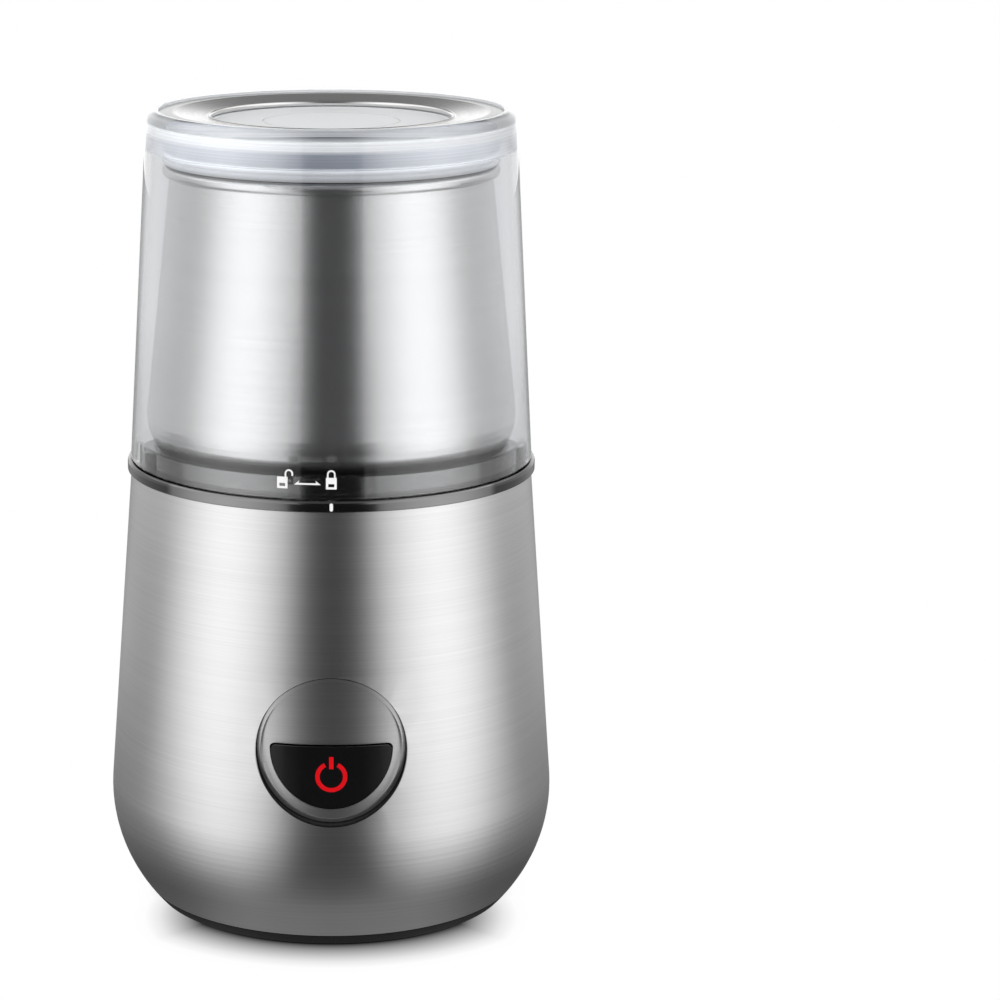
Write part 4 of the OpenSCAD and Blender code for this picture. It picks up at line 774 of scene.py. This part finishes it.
# the same for rings of the floor, by their radius in metres; the inner rings are darker, a painted shadow of
# the object on the floor as the steel reflects it
floorRings = [
    (0.057, [(0.0, 0.145), (0.16, 0.165), (0.22, 0.14), (0.28, 0.10), (0.34, 0.075), (0.47, 0.056),
             (1.0, 0.06)]),
    (0.065, [(0.0, 0.08), (0.07, 0.10), (0.116, 0.144), (0.175, 0.205), (0.236, 0.18), (0.30, 0.125),
             (0.363, 0.096), (0.5, 0.08), (1.0, 0.07)]),
    (0.083, [(0.0, 0.048), (0.075, 0.06), (0.10, 0.13), (0.128, 0.23), (0.193, 0.42), (0.259, 0.41),
             (0.327, 0.28), (0.397, 0.155), (0.47, 0.13), (1.0, 0.08)]),
    (0.125, [(0.0, 0.035), (0.085, 0.04), (0.11, 0.2), (0.145, 0.37), (0.218, 0.67), (0.291, 0.70),
             (0.364, 0.51), (0.437, 0.26), (0.511, 0.18), (0.66, 0.16), (1.0, 0.12)]),
    (0.300, floorStops),
    (0.560, floorStops),
    (0.800, tentSides + [(0.84, 0.32), (0.88, 0.18), (1.0, 0.2)])]

mirrored = {"strength": 1.6, "leftForward": 0.008, "behindLid": (0.425, 0.43, 0.44),
            "behind": [(0.74, 0.0), (0.86, 1.0)]}


def aroundObject(f, stops):  # the bright part on the left reaches a little further forward
    x, y, z = f.axes()
    return f.ramp(f.turn() + x.maths("LESS_THAN", 0.0) * mirrored["leftForward"], stops)


def mirrorLight(f, color):  # what is behind the object looks duller through the lid than in a reflection
    through = f.add("ShaderNodeLightPath", output="Is Transmission Ray")
    dull = f.ramp(f.turn(), mirrored["behind"]) * through
    return f.add("ShaderNodeEmission", {}, {"Color": f.mix(dull, color, mirrored["behindLid"]),
                                            "Strength": mirrored["strength"]})


# stops by radius in metres: shadow is where the floor turns from a painted shadow of the object, near black,
# to white, narrower round the sides and back
paleFloor = {"half": 3.0, "paper": (0.96, 0.96, 0.96), "paintedShadowColor": (0.02, 0.02, 0.02),
             "shadow": [(0.0430, 0.0), (0.0446, 0.09), (0.046, 0.24), (0.049, 0.42), (0.052, 0.65),
                        (0.055, 0.84), (0.059, 1.0)],
             "backwards": [(0.26, 0.0), (0.42, 1.0)], "backNarrower": 0.012,
             "mirror": [(0.036, 0.0), (0.044, 1.0)]}


def floorFinish():
    v = paleFloor
    f = Finish("paleFloor")
    away, height = f.radius()
    # painted shadow round the foot, which the camera sees
    white = f.ramp(away + f.ramp(f.turn(), v["backwards"]) * v["backNarrower"], v["shadow"])
    rays = f.add("ShaderNodeLightPath")
    seen = rays.output("Is Camera Ray")
    bent = rays.output("Is Glossy Ray").maths("MAXIMUM", rays.output("Is Transmission Ray"))
    color = aroundObject(f, floorRings[0][1])
    for (inner, _), (outer, stops) in zip(floorRings, floorRings[1:]):
        color = f.mix(f.ramp(away, [(inner, 0.0), (outer, 1.0)]), color, aroundObject(f, stops))
    paper = f.add("ShaderNodeBsdfDiffuse", {}, {"Color": v["paper"]})
    paintedShadowColor = f.add("ShaderNodeBsdfDiffuse", {}, {"Color": v["paintedShadowColor"]})
    glow = f.add("ShaderNodeEmission", {}, {"Color": (1, 1, 1), "Strength": 1.0})
    lit = f.between(white * seen, f.between(seen, paper, paintedShadowColor), glow)
    skin = f.between(f.ramp(away, v["mirror"]) * bent, lit, mirrorLight(f, color))
    fromBelow = f.add("ShaderNodeNewGeometry", output="Backfacing")  # lets the underside be looked at
    return f.show(f.between(fromBelow, skin, f.add("ShaderNodeBsdfTransparent")))


half = paleFloor["half"]
corners = [(-half, -half, 0), (half, -half, 0), (half, half, 0), (-half, half, 0)]
floorMesh = bpy.data.meshes.new("floor")
floorMesh.from_pydata(corners, [], [(0, 1, 2, 3)])
stagePiece("floor", floorMesh, floorFinish())

# a round tent seen only as reflections: dark flag in front, soft panels left and right, dim overhead
tentShape = {"radius": 1.5, "low": -0.01, "around": 64, "up": 32, "roof": [(0.42, 0.0), (0.54, 1.0)],
             "roofLowerBehind": [(0.80, 0.0), (0.95, 0.18)], "overhead": [(0.2, 0.12), (0.55, 0.95)]}


def tentFinish():
    v = tentShape
    f = Finish("tentCloth")
    x, y, z = f.axes()
    high = f.ramp(z / v["radius"] + f.ramp(f.turn(), v["roofLowerBehind"]), v["roof"])
    overhead = f.ramp(x.maths("ABSOLUTE") / v["radius"], v["overhead"])
    return f.show(mirrorLight(f, f.mix(high, aroundObject(f, tentStops), overhead)))


dome = bmesh.new()
bmesh.ops.create_uvsphere(dome, u_segments=tentShape["around"], v_segments=tentShape["up"],
                          radius=tentShape["radius"])
bmesh.ops.delete(dome, geom=[v for v in dome.verts if v.co.z < tentShape["low"]], context="VERTS")
tentMesh = bpy.data.meshes.new("tent")
dome.to_mesh(tentMesh)
dome.free()
tent = stagePiece("tent", tentMesh, tentFinish())
tent.visible_camera = False
tent.visible_diffuse = False
tent.visible_shadow = False
print("camera and studio made")
